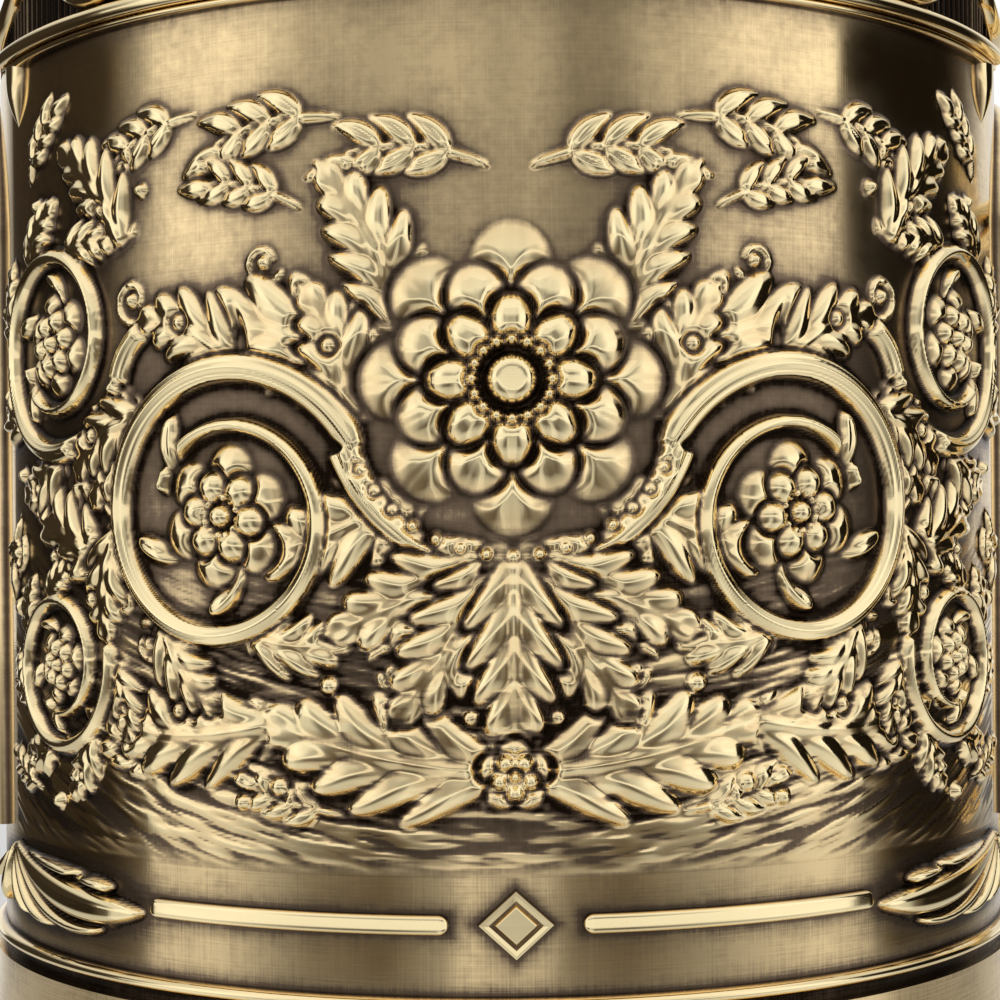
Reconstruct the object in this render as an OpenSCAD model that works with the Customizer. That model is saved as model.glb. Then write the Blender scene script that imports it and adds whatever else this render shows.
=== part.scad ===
// Podstakannik: a brass holder with a handle, for a thin tea glass.
// The origin is on the body's axis in the plane that the foot stands on, with +Z up.
// The front panel faces -Y and the handle is at +X. Angles round the body are counted
// from the middle of the panel, positive towards the viewer's right.

/* [Tea glass] */
// Outer diameter of the tea glass that the sleeve holds
glass_d = 68; // [60:0.5:76]
// Play between the glass and the sleeve on each side
glass_play = 0.35; // [0.1:0.05:0.5]

/* [Sleeve] */
// Wall of the drawn sleeve
sleeve_wall = 1.65; // [1.2:0.05:2.4]
// Height of the decorated wall, from the ring bead to the top moulding
panel_h = 56.9; // [50:0.1:70]
// Depth of the sleeve's lower end inside the foot
sleeve_seat = 4; // [2.5:0.1:6]
// Width of the inward lip that carries the base plate
lip_w = 2.4; // [1.5:0.1:4]
// Thickness of that lip
lip_t = 0.8; // [0.5:0.1:1.2]
// Thickness of the base plate that the glass stands on
plate_t = 1.2; // [0.8:0.1:1.6]
// Solder gap round the base plate
plate_gap = 0.05; // [0.02:0.01:0.15]
// Width of the shoulder that the base plate sits within, flush with its top
plate_step = 0.8; // [0.5:0.1:1.2]

/* [Foot] */
// Height of the foot
foot_h = 12.2; // [9:0.1:18]
// Radial flare of the foot beyond the sleeve
foot_flare = 4.6; // [3:0.1:8]
// Radial width of the foot's upper edge
foot_lip = 0.7; // [0.5:0.05:1.2]
// Wall of the foot
foot_wall = 1.5; // [1:0.1:2.2]
// Height of the rounded rim that the foot stands on
foot_rim_h = 2.6; // [1.6:0.1:4]
// Dark groove between the foot and the ring bead
groove_h = 0.7; // [0.4:0.05:1.4]
// Height of the half-round ring bead
bead_h = 0.9; // [0.5:0.05:1.6]
// How far the ring bead stands out from the sleeve
bead_out = 0.75; // [0.4:0.05:1.4]

/* [Panels] */
// Half of the angle that one panel takes
panel_half = 64; // [58:0.5:68]
// Thickness of the relief's ground sheet
ground_t = 0.25; // [0.15:0.05:0.4]
// Height of the relief above the sleeve
relief_h = 1.2; // [0.8:0.05:1.6]
// Height of the two-part moulding over a panel
moulding_h = 1.4; // [1:0.05:2.2]
// How far the moulding stands out from the sleeve
moulding_out = 1.3; // [0.9:0.05:1.8]
// Length of the drops that end the moulding
drop_l = 3.9; // [3:0.1:6]
// Width of those drops
drop_w = 3.2; // [2.2:0.1:4]

/* [Border] */
// Height of the polished bars above the ring bead
bar_z = 3.55; // [3:0.05:6]
// Height of one bar
bar_h = 1.05; // [0.6:0.05:1.6]
// How far the bars and the diamond stand out
bar_out = 0.6; // [0.4:0.05:1]
// Gap between the diamond's point and a bar, round the body
bar_gap = 1.6; // [0.8:0.1:3]
// Length of a bar, round the body
bar_l = 19.2; // [14:0.1:19.5]
// Gap between a bar and the tip of the corner leaf
leaf_gap = 1; // [0.6:0.1:3]
// Width of the diamond
diamond_w = 4.4; // [3:0.1:5]
// Height of the diamond
diamond_h = 4; // [3:0.1:6]
// Length of a corner leaf
leaf_l = 21; // [15:0.5:22]
// Height of a corner leaf
leaf_h = 5; // [3:0.1:6]
// How far a corner leaf stands out
leaf_out = 1.1; // [0.7:0.05:1.6]

/* [Crest] */
// Gap between the front and the rear crest at each side of the body
crest_gap = 10; // [8:0.5:16]
// Height of the crest's low ends over the moulding
crest_end_h = 2.6; // [1.8:0.1:4]
// Rise of the crest over its side scrolls
crest_side_rise = 11.5; // [9.5:0.5:16]
// Rise of the crest in its middle
crest_mid_rise = 15; // [13:0.5:18]
// Thickness of the crest plate
crest_t = 1.2; // [0.8:0.05:1.2]
// Depth of the crest's flutes
flute_depth = 0.3; // [0.15:0.05:0.4]
// Pitch of the flutes round the body
flute_pitch = 1.3; // [1.1:0.05:2.4]
// Height of the crest's rounded rim
rim_h = 1.1; // [0.8:0.05:1.6]
// How far the rim stands out from the sleeve
rim_out = 0.8; // [0.5:0.05:1.2]
// Height of the crest's side scrolls
scroll_h = 11; // [8:0.5:11.5]
// Height of the shell in the middle of the crest
shell_h = 14; // [8:0.5:14.5]
// How far the scrolls and the shell stand out from the sleeve
scroll_out = 1.5; // [1:0.05:2]

/* [Handle] */
// Radius of the handle's bow, to the middle of its bar
bow_r = 19.5; // [15:0.5:20]
// Width of the handle's bar
bow_w = 7; // [5:0.5:10]
// Thickness of the handle's bar
bow_t = 3.2; // [2.4:0.1:4.5]
// Length of the straight arms between the plates and the bow
arm_l = 9; // [6:0.5:14]
// Thickness of the plates that carry the handle
mount_t = 1.4; // [1:0.1:2.4]
// Width of those plates, of the clear width inside the side arch
mount_w_share = 0.717; // [0.6:0.001:0.8]
// Height of those plates
mount_h = 15; // [11:0.5:16]
// Length of the thumb rest
thumb_l = 19; // [12:0.5:24]
// Radius of the thumb rest's rolled end
thumb_roll = 1.9; // [1.2:0.1:2.6]
// Radius of the curl under the bow
curl_r = 5; // [3.5:0.5:7]
// Diameter of the rivets' heads
rivet_d = 2.4; // [1.6:0.1:3]

/* [Hidden] */

$fn = 96;
cut = 0.5; // overrun of every cut past the face it goes through

// The body's radii and heights
bore_r = glass_d / 2 + glass_play;
wall_r = bore_r + sleeve_wall;
sleeve_z = foot_h - sleeve_seat;
plate_z = sleeve_z + lip_t;
bead_z = foot_h + groove_h;
ring_top = bead_z + bead_h;
moulding_z = ring_top + panel_h;
sleeve_top = moulding_z + moulding_h;
foot_r = wall_r + foot_flare;
deg_per_mm = 180 / (PI * wall_r);
crest_top = sleeve_top + crest_end_h + crest_mid_rise;
crest_r = wall_r - crest_t;

// The picture zone, between the corner leaves and the moulding
leaf_clear = 0.3;
leaf_z_share = 0.28; // the leaf's lowest point over the ring bead, of the leaf's height
leaf_z = ring_top + leaf_h * leaf_z_share;
picture_z = leaf_z + leaf_h + leaf_clear;
picture_h = moulding_z - picture_z;
picture_mid = picture_z + picture_h / 2;
picture_half_w = panel_half / deg_per_mm;

// Brass as the photograph shows it: polished on the high parts, dark in the recesses
bright = [0.78, 0.69, 0.45];
aged = [0.45, 0.38, 0.25];
dark = [0.22, 0.19, 0.14];

// Places a child on the panel's face: turned by an angle, raised to a height and cut
// to the wall between two radii, so that a flat outline lies round the body
module on_wall(angle, z, r_in, r_out) {
    intersection() {
        rotate([0, 0, angle]) translate([0, 0, z]) rotate([90, 0, 0])
            linear_extrude(height = r_out + cut) children();
        tube(r_in, r_out, foot_h, crest_top + cut);
    }
}

// A plain tube between two radii and two heights
module tube(r_in, r_out, z_low, z_high) {
    rotate_extrude() translate([r_in, z_low]) square([r_out - r_in, z_high - z_low]);
}

// A stretch of a turned moulding, centred on the panel
module swept(half_angle) {
    rotate_extrude(angle = 2 * half_angle, start = -90 - half_angle) children();
}

module rear() {
    rotate([0, 0, 180]) children();
}

module left() {
    mirror([1, 0, 0]) children();
}

// A flat bar's outline with round ends, of thickness t along X and length w along Y
module stadium(t, w) {
    square([t, w - t], center = true);
    for (side = [-1, 1]) translate([0, side * (w - t) / 2]) circle(r = t / 2);
}

// The profile of a band with a round outer side, seated on the sleeve
module half_round(z, out, height) {
    r = height / 2;
    intersection() {
        union() {
            translate([wall_r + out - r, z + r]) circle(r = r);
            translate([wall_r + out - r - height, z]) square([height, height]);
        }
        translate([wall_r, z]) square([out, height]);
    }
}

// A leaf blade: two arcs that meet in points at its ends, from the origin along +X
module blade(length, width) {
    arc_r = (length * length + width * width) / (4 * width);
    intersection() {
        translate([length / 2, width / 2 - arc_r]) circle(r = arc_r);
        translate([length / 2, arc_r - width / 2]) circle(r = arc_r);
    }
}

// A flat spiral band that winds in to half its width: its edges' radii fall evenly with
// the share t of its turn. Side is 1 on the outer edge and -1 on the inner one.
spiral_steps = 40;
function polar(r, a) = [r * cos(a), r * sin(a)];
function reversed(list) = [for (i = [len(list) - 1:-1:0]) list[i]];
function edge_r(t, r_out, r_in, band, side) =
    r_out + (r_in - r_out) * t - band / 2 + side * band * (1 - t / 2) / 2;
function spiral_edge(r_out, r_in, band, turn, side, end = 1) = [
    for (i = [0:spiral_steps])
        let (t = end * i / spiral_steps)
        polar(edge_r(t, r_out, r_in, band, side), turn * t)
];

module spiral(r_out, r_in, band, turn) {
    polygon(concat(
        spiral_edge(r_out, r_in, band, turn, 1),
        reversed(spiral_edge(r_out, r_in, band, turn, -1))
    ));
}

// A spiral that runs into a round eye. The eye is as wide as the band's end reaches, and
// its circle meets the band's inner edge a turn earlier.
module volute(r_out, r_in, band, turn) {
    eye_r = edge_r(1, r_out, r_in, band, 1);
    meet = (r_out - band - eye_r) / (r_out - r_in - band / 4);
    eye_turn = turn * meet + 360 - turn;
    polygon(concat(
        spiral_edge(r_out, r_in, band, turn, 1),
        [for (i = [1:spiral_steps - 1]) polar(eye_r, turn + eye_turn * i / spiral_steps)],
        reversed(spiral_edge(r_out, r_in, band, turn, -1, meet))
    ));
}

// Sleeve, plate, foot and bead
module sleeve() {
    color(aged) union() {
        tube(bore_r, wall_r, sleeve_z, sleeve_top);
        tube(bore_r - plate_step, bore_r + sleeve_wall / 2, sleeve_z, plate_z + plate_t);
        tube(bore_r - lip_w, bore_r, sleeve_z, plate_z);
    }
}

module base_plate() {
    color(aged) translate([0, 0, plate_z])
        cylinder(h = plate_t, r = bore_r - plate_step - plate_gap);
}

// The foot is a turned shell: a rounded rim, a hollow sweep and a narrow upper edge
rim_r = foot_rim_h / 2;
sweep_h = foot_h - foot_rim_h;
sweep_w = foot_flare - foot_lip - rim_r;
sweep_steps = 12;
rim_steps = 10;
foot_sweep = [
    for (i = [0:sweep_steps])
        let (a = 90 * i / sweep_steps)
        [wall_r + foot_lip + sweep_w * (1 - cos(a)), foot_h - sweep_h * sin(a)]
];
foot_rim = [
    for (i = [1:rim_steps])
        let (a = 90 - 180 * i / rim_steps)
        [foot_r - rim_r + rim_r * cos(a), rim_r + rim_r * sin(a)]
];

module foot() {
    color(aged) rotate_extrude() polygon(concat(
        [[wall_r, foot_h]],
        foot_sweep,
        foot_rim,
        [[foot_r - rim_r - foot_wall, 0], [wall_r, sleeve_z]]
    ));
}

module ring_bead() {
    color(bright) rotate_extrude() half_round(bead_z, bead_out, bead_h);
}

// The relief: a rinceau of curling stems, flowers and leaves on a thin ground sheet.
// Places are shares of the picture's half width and of its height, from its middle.
flower_shares = [0, 0.06];
flower_r = picture_h * 0.18;
petals = 8;
calyx_shares = [0, -0.14];
calyx_l = picture_h * 0.24;
calyx_w = picture_h * 0.085;
calyx_turns = [-90, -52, -128, -22, -158];
inner_scroll_shares = [0.43, -0.09];
inner_scroll_r = picture_h * 0.19;
inner_scroll_start = 160;
outer_scroll_shares = [0.8, 0.13];
outer_scroll_r = picture_h * 0.15;
outer_scroll_start = 200;

// A scroll's stem, leaves and flower, as shares of its radius
stem_w_share = 0.24;
stem_end_share = 0.42;
scroll_turn = 520;
scroll_flower_share = 0.36;
scroll_leaf_turns = [20, 75, 130, 200, 260];
scroll_leaf_lean = 52;
scroll_leaf_place = 0.86;
scroll_leaf_l = 0.85;
scroll_leaf_w = 0.3;

// Sprays of three small leaves, each given as a place, a turn and a length of the
// picture's height
spray_list = [
    [0.2, 0.33, 12, 0.13], [0.42, 0.37, -8, 0.15], [0.36, 0.27, 30, 0.12],
    [0.62, -0.3, -20, 0.16], [0.3, -0.38, 8, 0.14]
];
spray_lean = 38;
spray_side_share = 0.7;
spray_w_share = 0.36;
spray_bud_share = 0.12;
spray_h_share = 0.6;

// Berries, each given as a place and a share of the berry's radius
berry_r = picture_h * 0.012;
berry_list = [
    [0.1, -0.27, 1.2], [0.14, -0.31, 1], [0.64, -0.12, 1.1], [0.68, -0.16, 0.9],
    [0.56, -0.33, 0.9], [0.22, -0.22, 0.9], [0.74, -0.34, 1], [0.62, 0.33, 0.9]
];

function picture_angle(share) = share * picture_half_w * deg_per_mm;
function picture_height(share) = picture_mid + share * picture_h;

// A round flower seen from above: petals round a heart
module flower(r, count) {
    for (i = [0:count - 1])
        rotate([0, 0, i * 360 / count]) translate([r * 0.62, 0]) circle(r = r * 0.38);
    circle(r = r * 0.55);
}

// A stem that winds in to a small flower, with leaves that stand off its outer side
module curled_stem(r) {
    spiral(r, r * stem_end_share, r * stem_w_share, scroll_turn);
    flower(r * scroll_flower_share, 6);
    for (a = scroll_leaf_turns)
        rotate([0, 0, a]) translate([r * scroll_leaf_place, 0])
            rotate([0, 0, scroll_leaf_lean]) blade(r * scroll_leaf_l, r * scroll_leaf_w);
}

module spray(length) {
    circle(r = length * spray_bud_share);
    blade(length, length * spray_w_share);
    for (side = [-1, 1]) rotate([0, 0, side * spray_lean])
        blade(length * spray_side_share, length * spray_side_share * spray_w_share);
}

module relief_piece(shares, height_share = 1) {
    on_wall(
        picture_angle(shares[0]), picture_height(shares[1]),
        wall_r + ground_t / 2, wall_r + relief_h * height_share
    ) children();
}

module panel_relief() {
    color(bright) union() {
        swept(panel_half) translate([wall_r, picture_z]) square([ground_t, picture_h]);
        relief_piece(flower_shares) flower(flower_r, petals);
        relief_piece(calyx_shares)
            for (a = calyx_turns) rotate([0, 0, a]) blade(calyx_l, calyx_w);
        for (side = [0, 1]) mirror([side, 0, 0]) {
            relief_piece(inner_scroll_shares) mirror([0, 1, 0])
                rotate([0, 0, -inner_scroll_start]) curled_stem(inner_scroll_r);
            relief_piece(outer_scroll_shares) rotate([0, 0, outer_scroll_start])
                curled_stem(outer_scroll_r);
            for (at = spray_list)
                relief_piece(at, spray_h_share) rotate([0, 0, at[2]]) spray(picture_h * at[3]);
            for (at = berry_list) relief_piece(at, spray_h_share) circle(r = berry_r * at[2]);
        }
    }
}

// The two-part band over a panel: a round main part and a thin lower lip
lip_share = 0.3;
lip_out_share = 0.6;
module top_moulding() {
    lip_h = moulding_h * lip_share;
    color(bright) swept(panel_half) union() {
        translate([wall_r, moulding_z]) square([moulding_out * lip_out_share, lip_h]);
        half_round(moulding_z + lip_h, moulding_out, moulding_h - lip_h);
    }
}

// The drops that hang from the moulding's ends, over the ground sheet
drop_clear = 0.2;
drop_angle = panel_half - (drop_w / 2 + drop_clear) * deg_per_mm;

module drop() {
    color(bright)
        on_wall(drop_angle, moulding_z, wall_r + ground_t, wall_r + moulding_out)
            rotate([0, 0, -90]) blade(drop_l, drop_w);
}

// Bars and diamond under the picture
bar_mid = ring_top + bar_z + bar_h / 2;
bar_start = (diamond_w / 2 + bar_gap) * deg_per_mm;
bar_end = bar_start + bar_l * deg_per_mm;
diamond_rim = 0.75;

module bar() {
    half = bar_l / 2 * deg_per_mm;
    color(bright)
        on_wall(bar_start + half, bar_mid, wall_r, wall_r + bar_out)
            rotate([0, 0, 90]) stadium(bar_h, 2 * wall_r * sin(half));
}

module diamond_outline(inset) {
    w = diamond_w / 2 - inset;
    h = diamond_h / 2 - inset * diamond_h / diamond_w;
    polygon([[w, 0], [0, h], [-w, 0], [0, -h]]);
}

// A raised lozenge: a frame, a groove and an inner field
module diamond() {
    color(bright) union() {
        on_wall(0, bar_mid, wall_r, wall_r + bar_out / 2) diamond_outline(0);
        on_wall(0, bar_mid, wall_r, wall_r + bar_out) difference() {
            diamond_outline(0);
            diamond_outline(diamond_rim);
        }
        on_wall(0, bar_mid, wall_r, wall_r + bar_out) diamond_outline(diamond_rim * 1.5);
    }
}

// A corner leaf lies along the border with its tip towards the middle. Its lobes are
// blades that stand off a midrib, each given as a place, a turn, a length and a width,
// all shares of the leaf's length but the turn.
leaf_tip = bar_end + leaf_gap * deg_per_mm;
leaf_mid = leaf_tip + leaf_l / 2 * deg_per_mm;
lobe_shares = [
    [-0.08, 180, 0.42, 0.15],
    [-0.02, 155, 0.3, 0.12],
    [-0.02, 205, 0.3, 0.12],
    [0.2, 150, 0.34, 0.13],
    [0.2, 212, 0.34, 0.13],
    [0.46, 138, 0.34, 0.13],
    [0.46, 218, 0.3, 0.12]
];

module leaf_outline() {
    blade_l = leaf_l * 0.78;
    intersection() {
        union() {
            translate([-leaf_l * 0.28, 0]) blade(blade_l, leaf_h * 0.42);
            for (lobe = lobe_shares)
                translate([leaf_l * lobe[0], 0]) rotate([0, 0, lobe[1]])
                    blade(leaf_l * lobe[2], leaf_l * lobe[3]);
        }
        translate([-leaf_l / 2, -leaf_h * 0.5]) square([leaf_l, leaf_h]);
    }
}

module corner_leaf() {
    color(bright)
        on_wall(leaf_mid, leaf_z + leaf_h / 2, wall_r, wall_r + leaf_out) leaf_outline();
}

// The crest's height over the moulding at an angle: low ends, a hump over each side
// scroll that falls off more slowly inwards, and a peak in the middle
crest_half = 90 - crest_gap / 2 * deg_per_mm;
scroll_angle = 44;
hump_out = 13;
hump_in = 23;
peak_spread = 16;
crest_steps = 60;
function hump_spread(a) = abs(a) > scroll_angle ? hump_out : hump_in;
function crest_rise(a) = crest_end_h
    + crest_side_rise * exp(-pow((abs(a) - scroll_angle) / hump_spread(a), 2))
    + crest_mid_rise * exp(-pow(a / peak_spread, 2));
function crest_line(lift) = [
    for (i = [0:crest_steps])
        let (a = crest_half * (2 * i / crest_steps - 1))
        [wall_r * sin(a), crest_rise(a) + lift]
];

module crest_outline(low, high) {
    polygon(concat(crest_line(high), low));
}

// The front half of what stands over the sleeve's edge, cut by a flat outline
module over_edge() {
    translate([0, 0, sleeve_top]) rotate([90, 0, 0])
        linear_extrude(height = wall_r + rim_out + cut) children();
}

flute_step = flute_pitch * deg_per_mm;
flute_w_share = 0.85;
flute_w = flute_pitch * flute_w_share;
flute_r = (flute_w * flute_w / 4 + flute_depth * flute_depth) / (2 * flute_depth);
flute_count = floor(crest_half / flute_step);

module fluted_ring() {
    translate([0, 0, sleeve_top]) linear_extrude(height = crest_top - sleeve_top)
        difference() {
            circle(r = wall_r, $fn = 720);
            circle(r = crest_r, $fn = 720);
            for (i = [-flute_count:flute_count])
                rotate([0, 0, i * flute_step]) translate([0, flute_depth - flute_r - wall_r])
                    circle(r = flute_r, $fn = 48);
        }
}

module crest() {
    end_x = wall_r * sin(crest_half);
    color(dark) intersection() {
        over_edge() crest_outline([[end_x, 0], [-end_x, 0]], -rim_h);
        fluted_ring();
    }
}

module crest_rim() {
    color(bright) intersection() {
        over_edge() crest_outline(reversed(crest_line(-rim_h)), 0);
        tube(crest_r, wall_r + rim_out, sleeve_top, crest_top + cut);
    }
}

// A volute on each side of the crest, its end and its width as shares of its radius
volute_turn = 560;
volute_end_share = 0.42;
volute_w_share = 0.34;
module crest_scroll() {
    r = scroll_h / 2;
    color(bright)
        on_wall(scroll_angle, sleeve_top + r, wall_r, wall_r + scroll_out) mirror([1, 0, 0])
            volute(r, r * volute_end_share, r * volute_w_share, volute_turn);
}

// A shell of blades that fan out from the foot of the crest's middle, each given as a
// turn and a share of the shell's height
fan_shares = [[90, 1], [62, 0.88], [118, 0.88], [34, 0.68], [146, 0.68], [10, 0.5], [170, 0.5]];
fan_w_share = 0.26;
fan_foot_share = 0.2;
module crest_shell() {
    color(bright)
        on_wall(0, sleeve_top, wall_r, wall_r + scroll_out) intersection() {
            union() {
                for (lobe = fan_shares)
                    rotate([0, 0, lobe[0]])
                        blade(shell_h * lobe[1], shell_h * lobe[1] * fan_w_share);
                circle(r = shell_h * fan_foot_share);
            }
            translate([-shell_h, 0]) square([2 * shell_h, shell_h]);
        }
}

// The side zones: an inverted U on each side, with the handle in one and an ornament
// in the other
side_half = 90 - panel_half;
arch_w = 2 * side_half / deg_per_mm * 0.72;
arch_band = 1.3;
arch_out = 0.9;

module arch_outline(inset) {
    r = arch_w / 2 - inset;
    union() {
        translate([0, sleeve_top - picture_z - arch_w / 2]) circle(r = r);
        translate([-r, 0]) square([2 * r, sleeve_top - picture_z - arch_w / 2]);
    }
}

module side_arch() {
    color(bright)
        on_wall(90, picture_z, wall_r, wall_r + arch_out) difference() {
            arch_outline(0);
            translate([0, -cut]) arch_outline(arch_band);
        }
}

// The ornament is a cross of blades, each given as a turn and a length of the arch's
// width, round a boss
cartouche_shares = [
    [0, 0.36], [180, 0.36], [90, 0.52], [270, 0.52],
    [45, 0.28], [135, 0.28], [225, 0.28], [315, 0.28]
];
module side_cartouche() {
    color(bright) on_wall(-90, picture_mid, wall_r, wall_r + relief_h) {
        for (lobe = cartouche_shares)
            rotate([0, 0, lobe[0]]) blade(arch_w * lobe[1], arch_w * 0.13);
        circle(r = arch_w * 0.17);
    }
}

// The handle: two lobed plates, a bow with straight arms, a thumb rest and a curl
plate_r = wall_r + mount_t;
bow_z = (ring_top + moulding_z) / 2;
bow_x = plate_r + arm_l;

mount_w = (arch_w - 2 * arch_band) * mount_w_share;
rivet_x_share = 0.34;
rivet_z_share = 0.34;
module mount_plate(z) {
    lobe_r = mount_w * 0.16;
    color(bright) on_wall(90, z, wall_r, plate_r) {
        square([mount_w * 0.68, mount_h * 0.6], center = true);
        square([mount_w * 0.5, mount_h], center = true);
        for (sx = [-1, 1]) for (sz = [-1, 1])
            translate([sx * mount_w * rivet_x_share, sz * mount_h * rivet_z_share])
                circle(r = lobe_r);
    }
}

module handle_plate_upper() {
    mount_plate(bow_z + bow_r);
}

module handle_plate_lower() {
    mount_plate(bow_z - bow_r);
}

module handle_bow() {
    color(bright) difference() {
        union() {
            translate([bow_x, 0, bow_z]) rotate([90, 0, 0])
                rotate_extrude(angle = 180, start = -90)
                    translate([bow_r, 0]) stadium(bow_t, bow_w);
            for (side = [-1, 1])
                translate([wall_r, 0, bow_z + side * bow_r]) rotate([0, 90, 0])
                    linear_extrude(height = bow_x - wall_r) stadium(bow_t, bow_w);
        }
        cylinder(h = crest_top, r = plate_r);
    }
}

// The thumb rest stands on the upper arm, sweeps up in an arc and ends in a roll. Seen
// from above it is a leaf.
thumb_t = 1.6;
thumb_pad_l = arm_l * 0.75;
thumb_r = thumb_l * 0.75;
thumb_sweep = 58;
thumb_w = bow_w * 1.7;
thumb_z = bow_z + bow_r + bow_t / 2;

module thumb_profile() {
    reach = thumb_r + cut;
    translate([-thumb_pad_l, 0]) square([thumb_pad_l, thumb_t]);
    intersection() {
        translate([0, thumb_r]) difference() {
            circle(r = thumb_r);
            circle(r = thumb_r - thumb_t);
        }
        polygon([
            [0, thumb_r],
            [0, -cut],
            [reach, -cut],
            [reach * sin(thumb_sweep), thumb_r - reach * cos(thumb_sweep)]
        ]);
    }
    translate([
        (thumb_r - thumb_t / 2) * sin(thumb_sweep),
        thumb_r - (thumb_r - thumb_t / 2) * cos(thumb_sweep)
    ]) circle(r = thumb_roll);
}

module thumb_rest() {
    leaf_end = thumb_pad_l + thumb_r;
    color(bright) translate([bow_x - arm_l * 0.1, 0, thumb_z]) intersection() {
        rotate([90, 0, 0]) translate([0, 0, -thumb_w / 2])
            linear_extrude(height = thumb_w) thumb_profile();
        translate([-thumb_pad_l * 1.6, 0, 0])
            linear_extrude(height = 2 * thumb_r) blade(leaf_end * 1.5, thumb_w);
    }
}

curl_t = bow_t * 0.62;
curl_w = (bow_w - bow_t) * 0.94;
curl_bite = 0.4;
curl_at = -62;
curl_turn = 235;
module handle_curl() {
    reach = bow_r + bow_t / 2 + curl_r + curl_t / 2 - curl_bite;
    color(bright) difference() {
        translate([bow_x + reach * cos(curl_at), 0, bow_z + reach * sin(curl_at)])
            rotate([90, 0, 0]) union() {
                rotate_extrude(angle = curl_turn, start = curl_at + 170 - curl_turn)
                    translate([curl_r, 0]) stadium(curl_t, curl_w);
                rotate([0, 0, curl_at + 170 - curl_turn]) translate([curl_r, 0])
                    cylinder(h = curl_w * 1.25, r = curl_t * 0.9, center = true);
            }
        translate([bow_x, bow_w, bow_z]) rotate([90, 0, 0])
            cylinder(h = 2 * bow_w, r = bow_r + bow_t / 2);
    }
}

// Rivet heads on the plates' lobes, each a wide step with a narrower one on it
module rivet_heads(level, r, height) {
    on_wall(90, bow_z + level * bow_r, plate_r, plate_r + height)
        for (sx = [-1, 1]) for (sz = [-1, 1])
            translate([sx * mount_w * rivet_x_share, sz * mount_h * rivet_z_share])
                circle(r = r);
}

module handle_rivets() {
    rivet_r = rivet_d / 2;
    color(bright) for (level = [-1, 1]) {
        rivet_heads(level, rivet_r, rivet_r * 0.4);
        rivet_heads(level, rivet_r * 0.7, rivet_r * 0.7);
    }
}

sleeve();
base_plate();
foot();
ring_bead();
panel_relief();  // panel_relief_front
rear() panel_relief();  // panel_relief_rear
top_moulding();  // top_moulding_front
rear() top_moulding();  // top_moulding_rear
left() drop();  // drop_front_left
drop();  // drop_front_right
rear() left() drop();  // drop_rear_left
rear() drop();  // drop_rear_right
left() bar();  // bar_front_left
bar();  // bar_front_right
rear() left() bar();  // bar_rear_left
rear() bar();  // bar_rear_right
diamond();  // diamond_front
rear() diamond();  // diamond_rear
left() corner_leaf();  // corner_leaf_front_left
corner_leaf();  // corner_leaf_front_right
rear() left() corner_leaf();  // corner_leaf_rear_left
rear() corner_leaf();  // corner_leaf_rear_right
crest();  // crest_front
rear() crest();  // crest_rear
crest_rim();  // crest_rim_front
rear() crest_rim();  // crest_rim_rear
left() crest_scroll();  // crest_scroll_front_left
crest_scroll();  // crest_scroll_front_right
rear() left() crest_scroll();  // crest_scroll_rear_left
rear() crest_scroll();  // crest_scroll_rear_right
crest_shell();  // crest_shell_front
rear() crest_shell();  // crest_shell_rear
left() side_arch();  // side_arch_left
side_arch();  // side_arch_right
side_cartouche();
handle_plate_upper();
handle_plate_lower();
handle_bow();
thumb_rest();
handle_curl();
handle_rivets();
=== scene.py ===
import collections
import math

import bpy
import numpy as np
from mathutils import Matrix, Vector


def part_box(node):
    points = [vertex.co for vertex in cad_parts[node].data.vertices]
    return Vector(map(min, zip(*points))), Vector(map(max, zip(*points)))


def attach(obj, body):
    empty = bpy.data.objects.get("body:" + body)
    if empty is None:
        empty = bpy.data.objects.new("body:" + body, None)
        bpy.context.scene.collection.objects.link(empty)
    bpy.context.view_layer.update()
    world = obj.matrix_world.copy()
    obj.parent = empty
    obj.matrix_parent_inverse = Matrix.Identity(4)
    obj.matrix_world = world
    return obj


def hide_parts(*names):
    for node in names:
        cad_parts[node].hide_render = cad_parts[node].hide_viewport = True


bl_info = {
    "name": "Tea glass holder",
    "version": (1, 0, 0),
    "blender": (4, 5, 0),
    "location": "View3D > Sidebar > Glass holder",
    "description": "Builds the looks of a brass podstakannik round its packed frame",
    "category": "Add Mesh",
}

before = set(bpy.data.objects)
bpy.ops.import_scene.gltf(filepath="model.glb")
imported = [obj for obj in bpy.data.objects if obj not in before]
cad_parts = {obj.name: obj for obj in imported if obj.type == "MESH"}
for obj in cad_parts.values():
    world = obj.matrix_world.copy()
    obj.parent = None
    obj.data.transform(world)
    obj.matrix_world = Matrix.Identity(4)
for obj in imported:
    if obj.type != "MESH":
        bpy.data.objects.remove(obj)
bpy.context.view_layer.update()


def low(node):
    """The lowest corner of a CAD node's box."""
    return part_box(node)[0]


def high(node):
    """The highest corner of a CAD node's box."""
    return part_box(node)[1]


def middle(node):
    """The height of the middle of a CAD node's box."""
    return (low(node).z + high(node).z) / 2


def tallness(node):
    """How tall a CAD node's box is."""
    return high(node).z - low(node).z


# Radii and heights of the frame, in metres. The panels face -Y and +Y, the handle +X.
SLEEVE_WALL = 0.00165
WALL_R = high("sleeve").x
BORE_R = WALL_R - SLEEVE_WALL
SLEEVE_LOW = low("sleeve").z
SLEEVE_TOP = high("sleeve").z
FOOT_R = high("foot").x
FOOT_TOP = high("foot").z
RING_LOW = low("ring_bead").z
RING_TOP = high("ring_bead").z
MOULDING_LOW = low("top_moulding_front").z
PICTURE_LOW = low("panel_relief_front").z
PICTURE_TOP = high("panel_relief_front").z
PANEL_HALF = math.radians(64)
PICTURE_HALF_W = WALL_R * PANEL_HALF
PICTURE_H = PICTURE_TOP - PICTURE_LOW
# The panels' names, and how far each is turned from the front
PANELS = (("front", 0.0), ("rear", math.pi))
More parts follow.
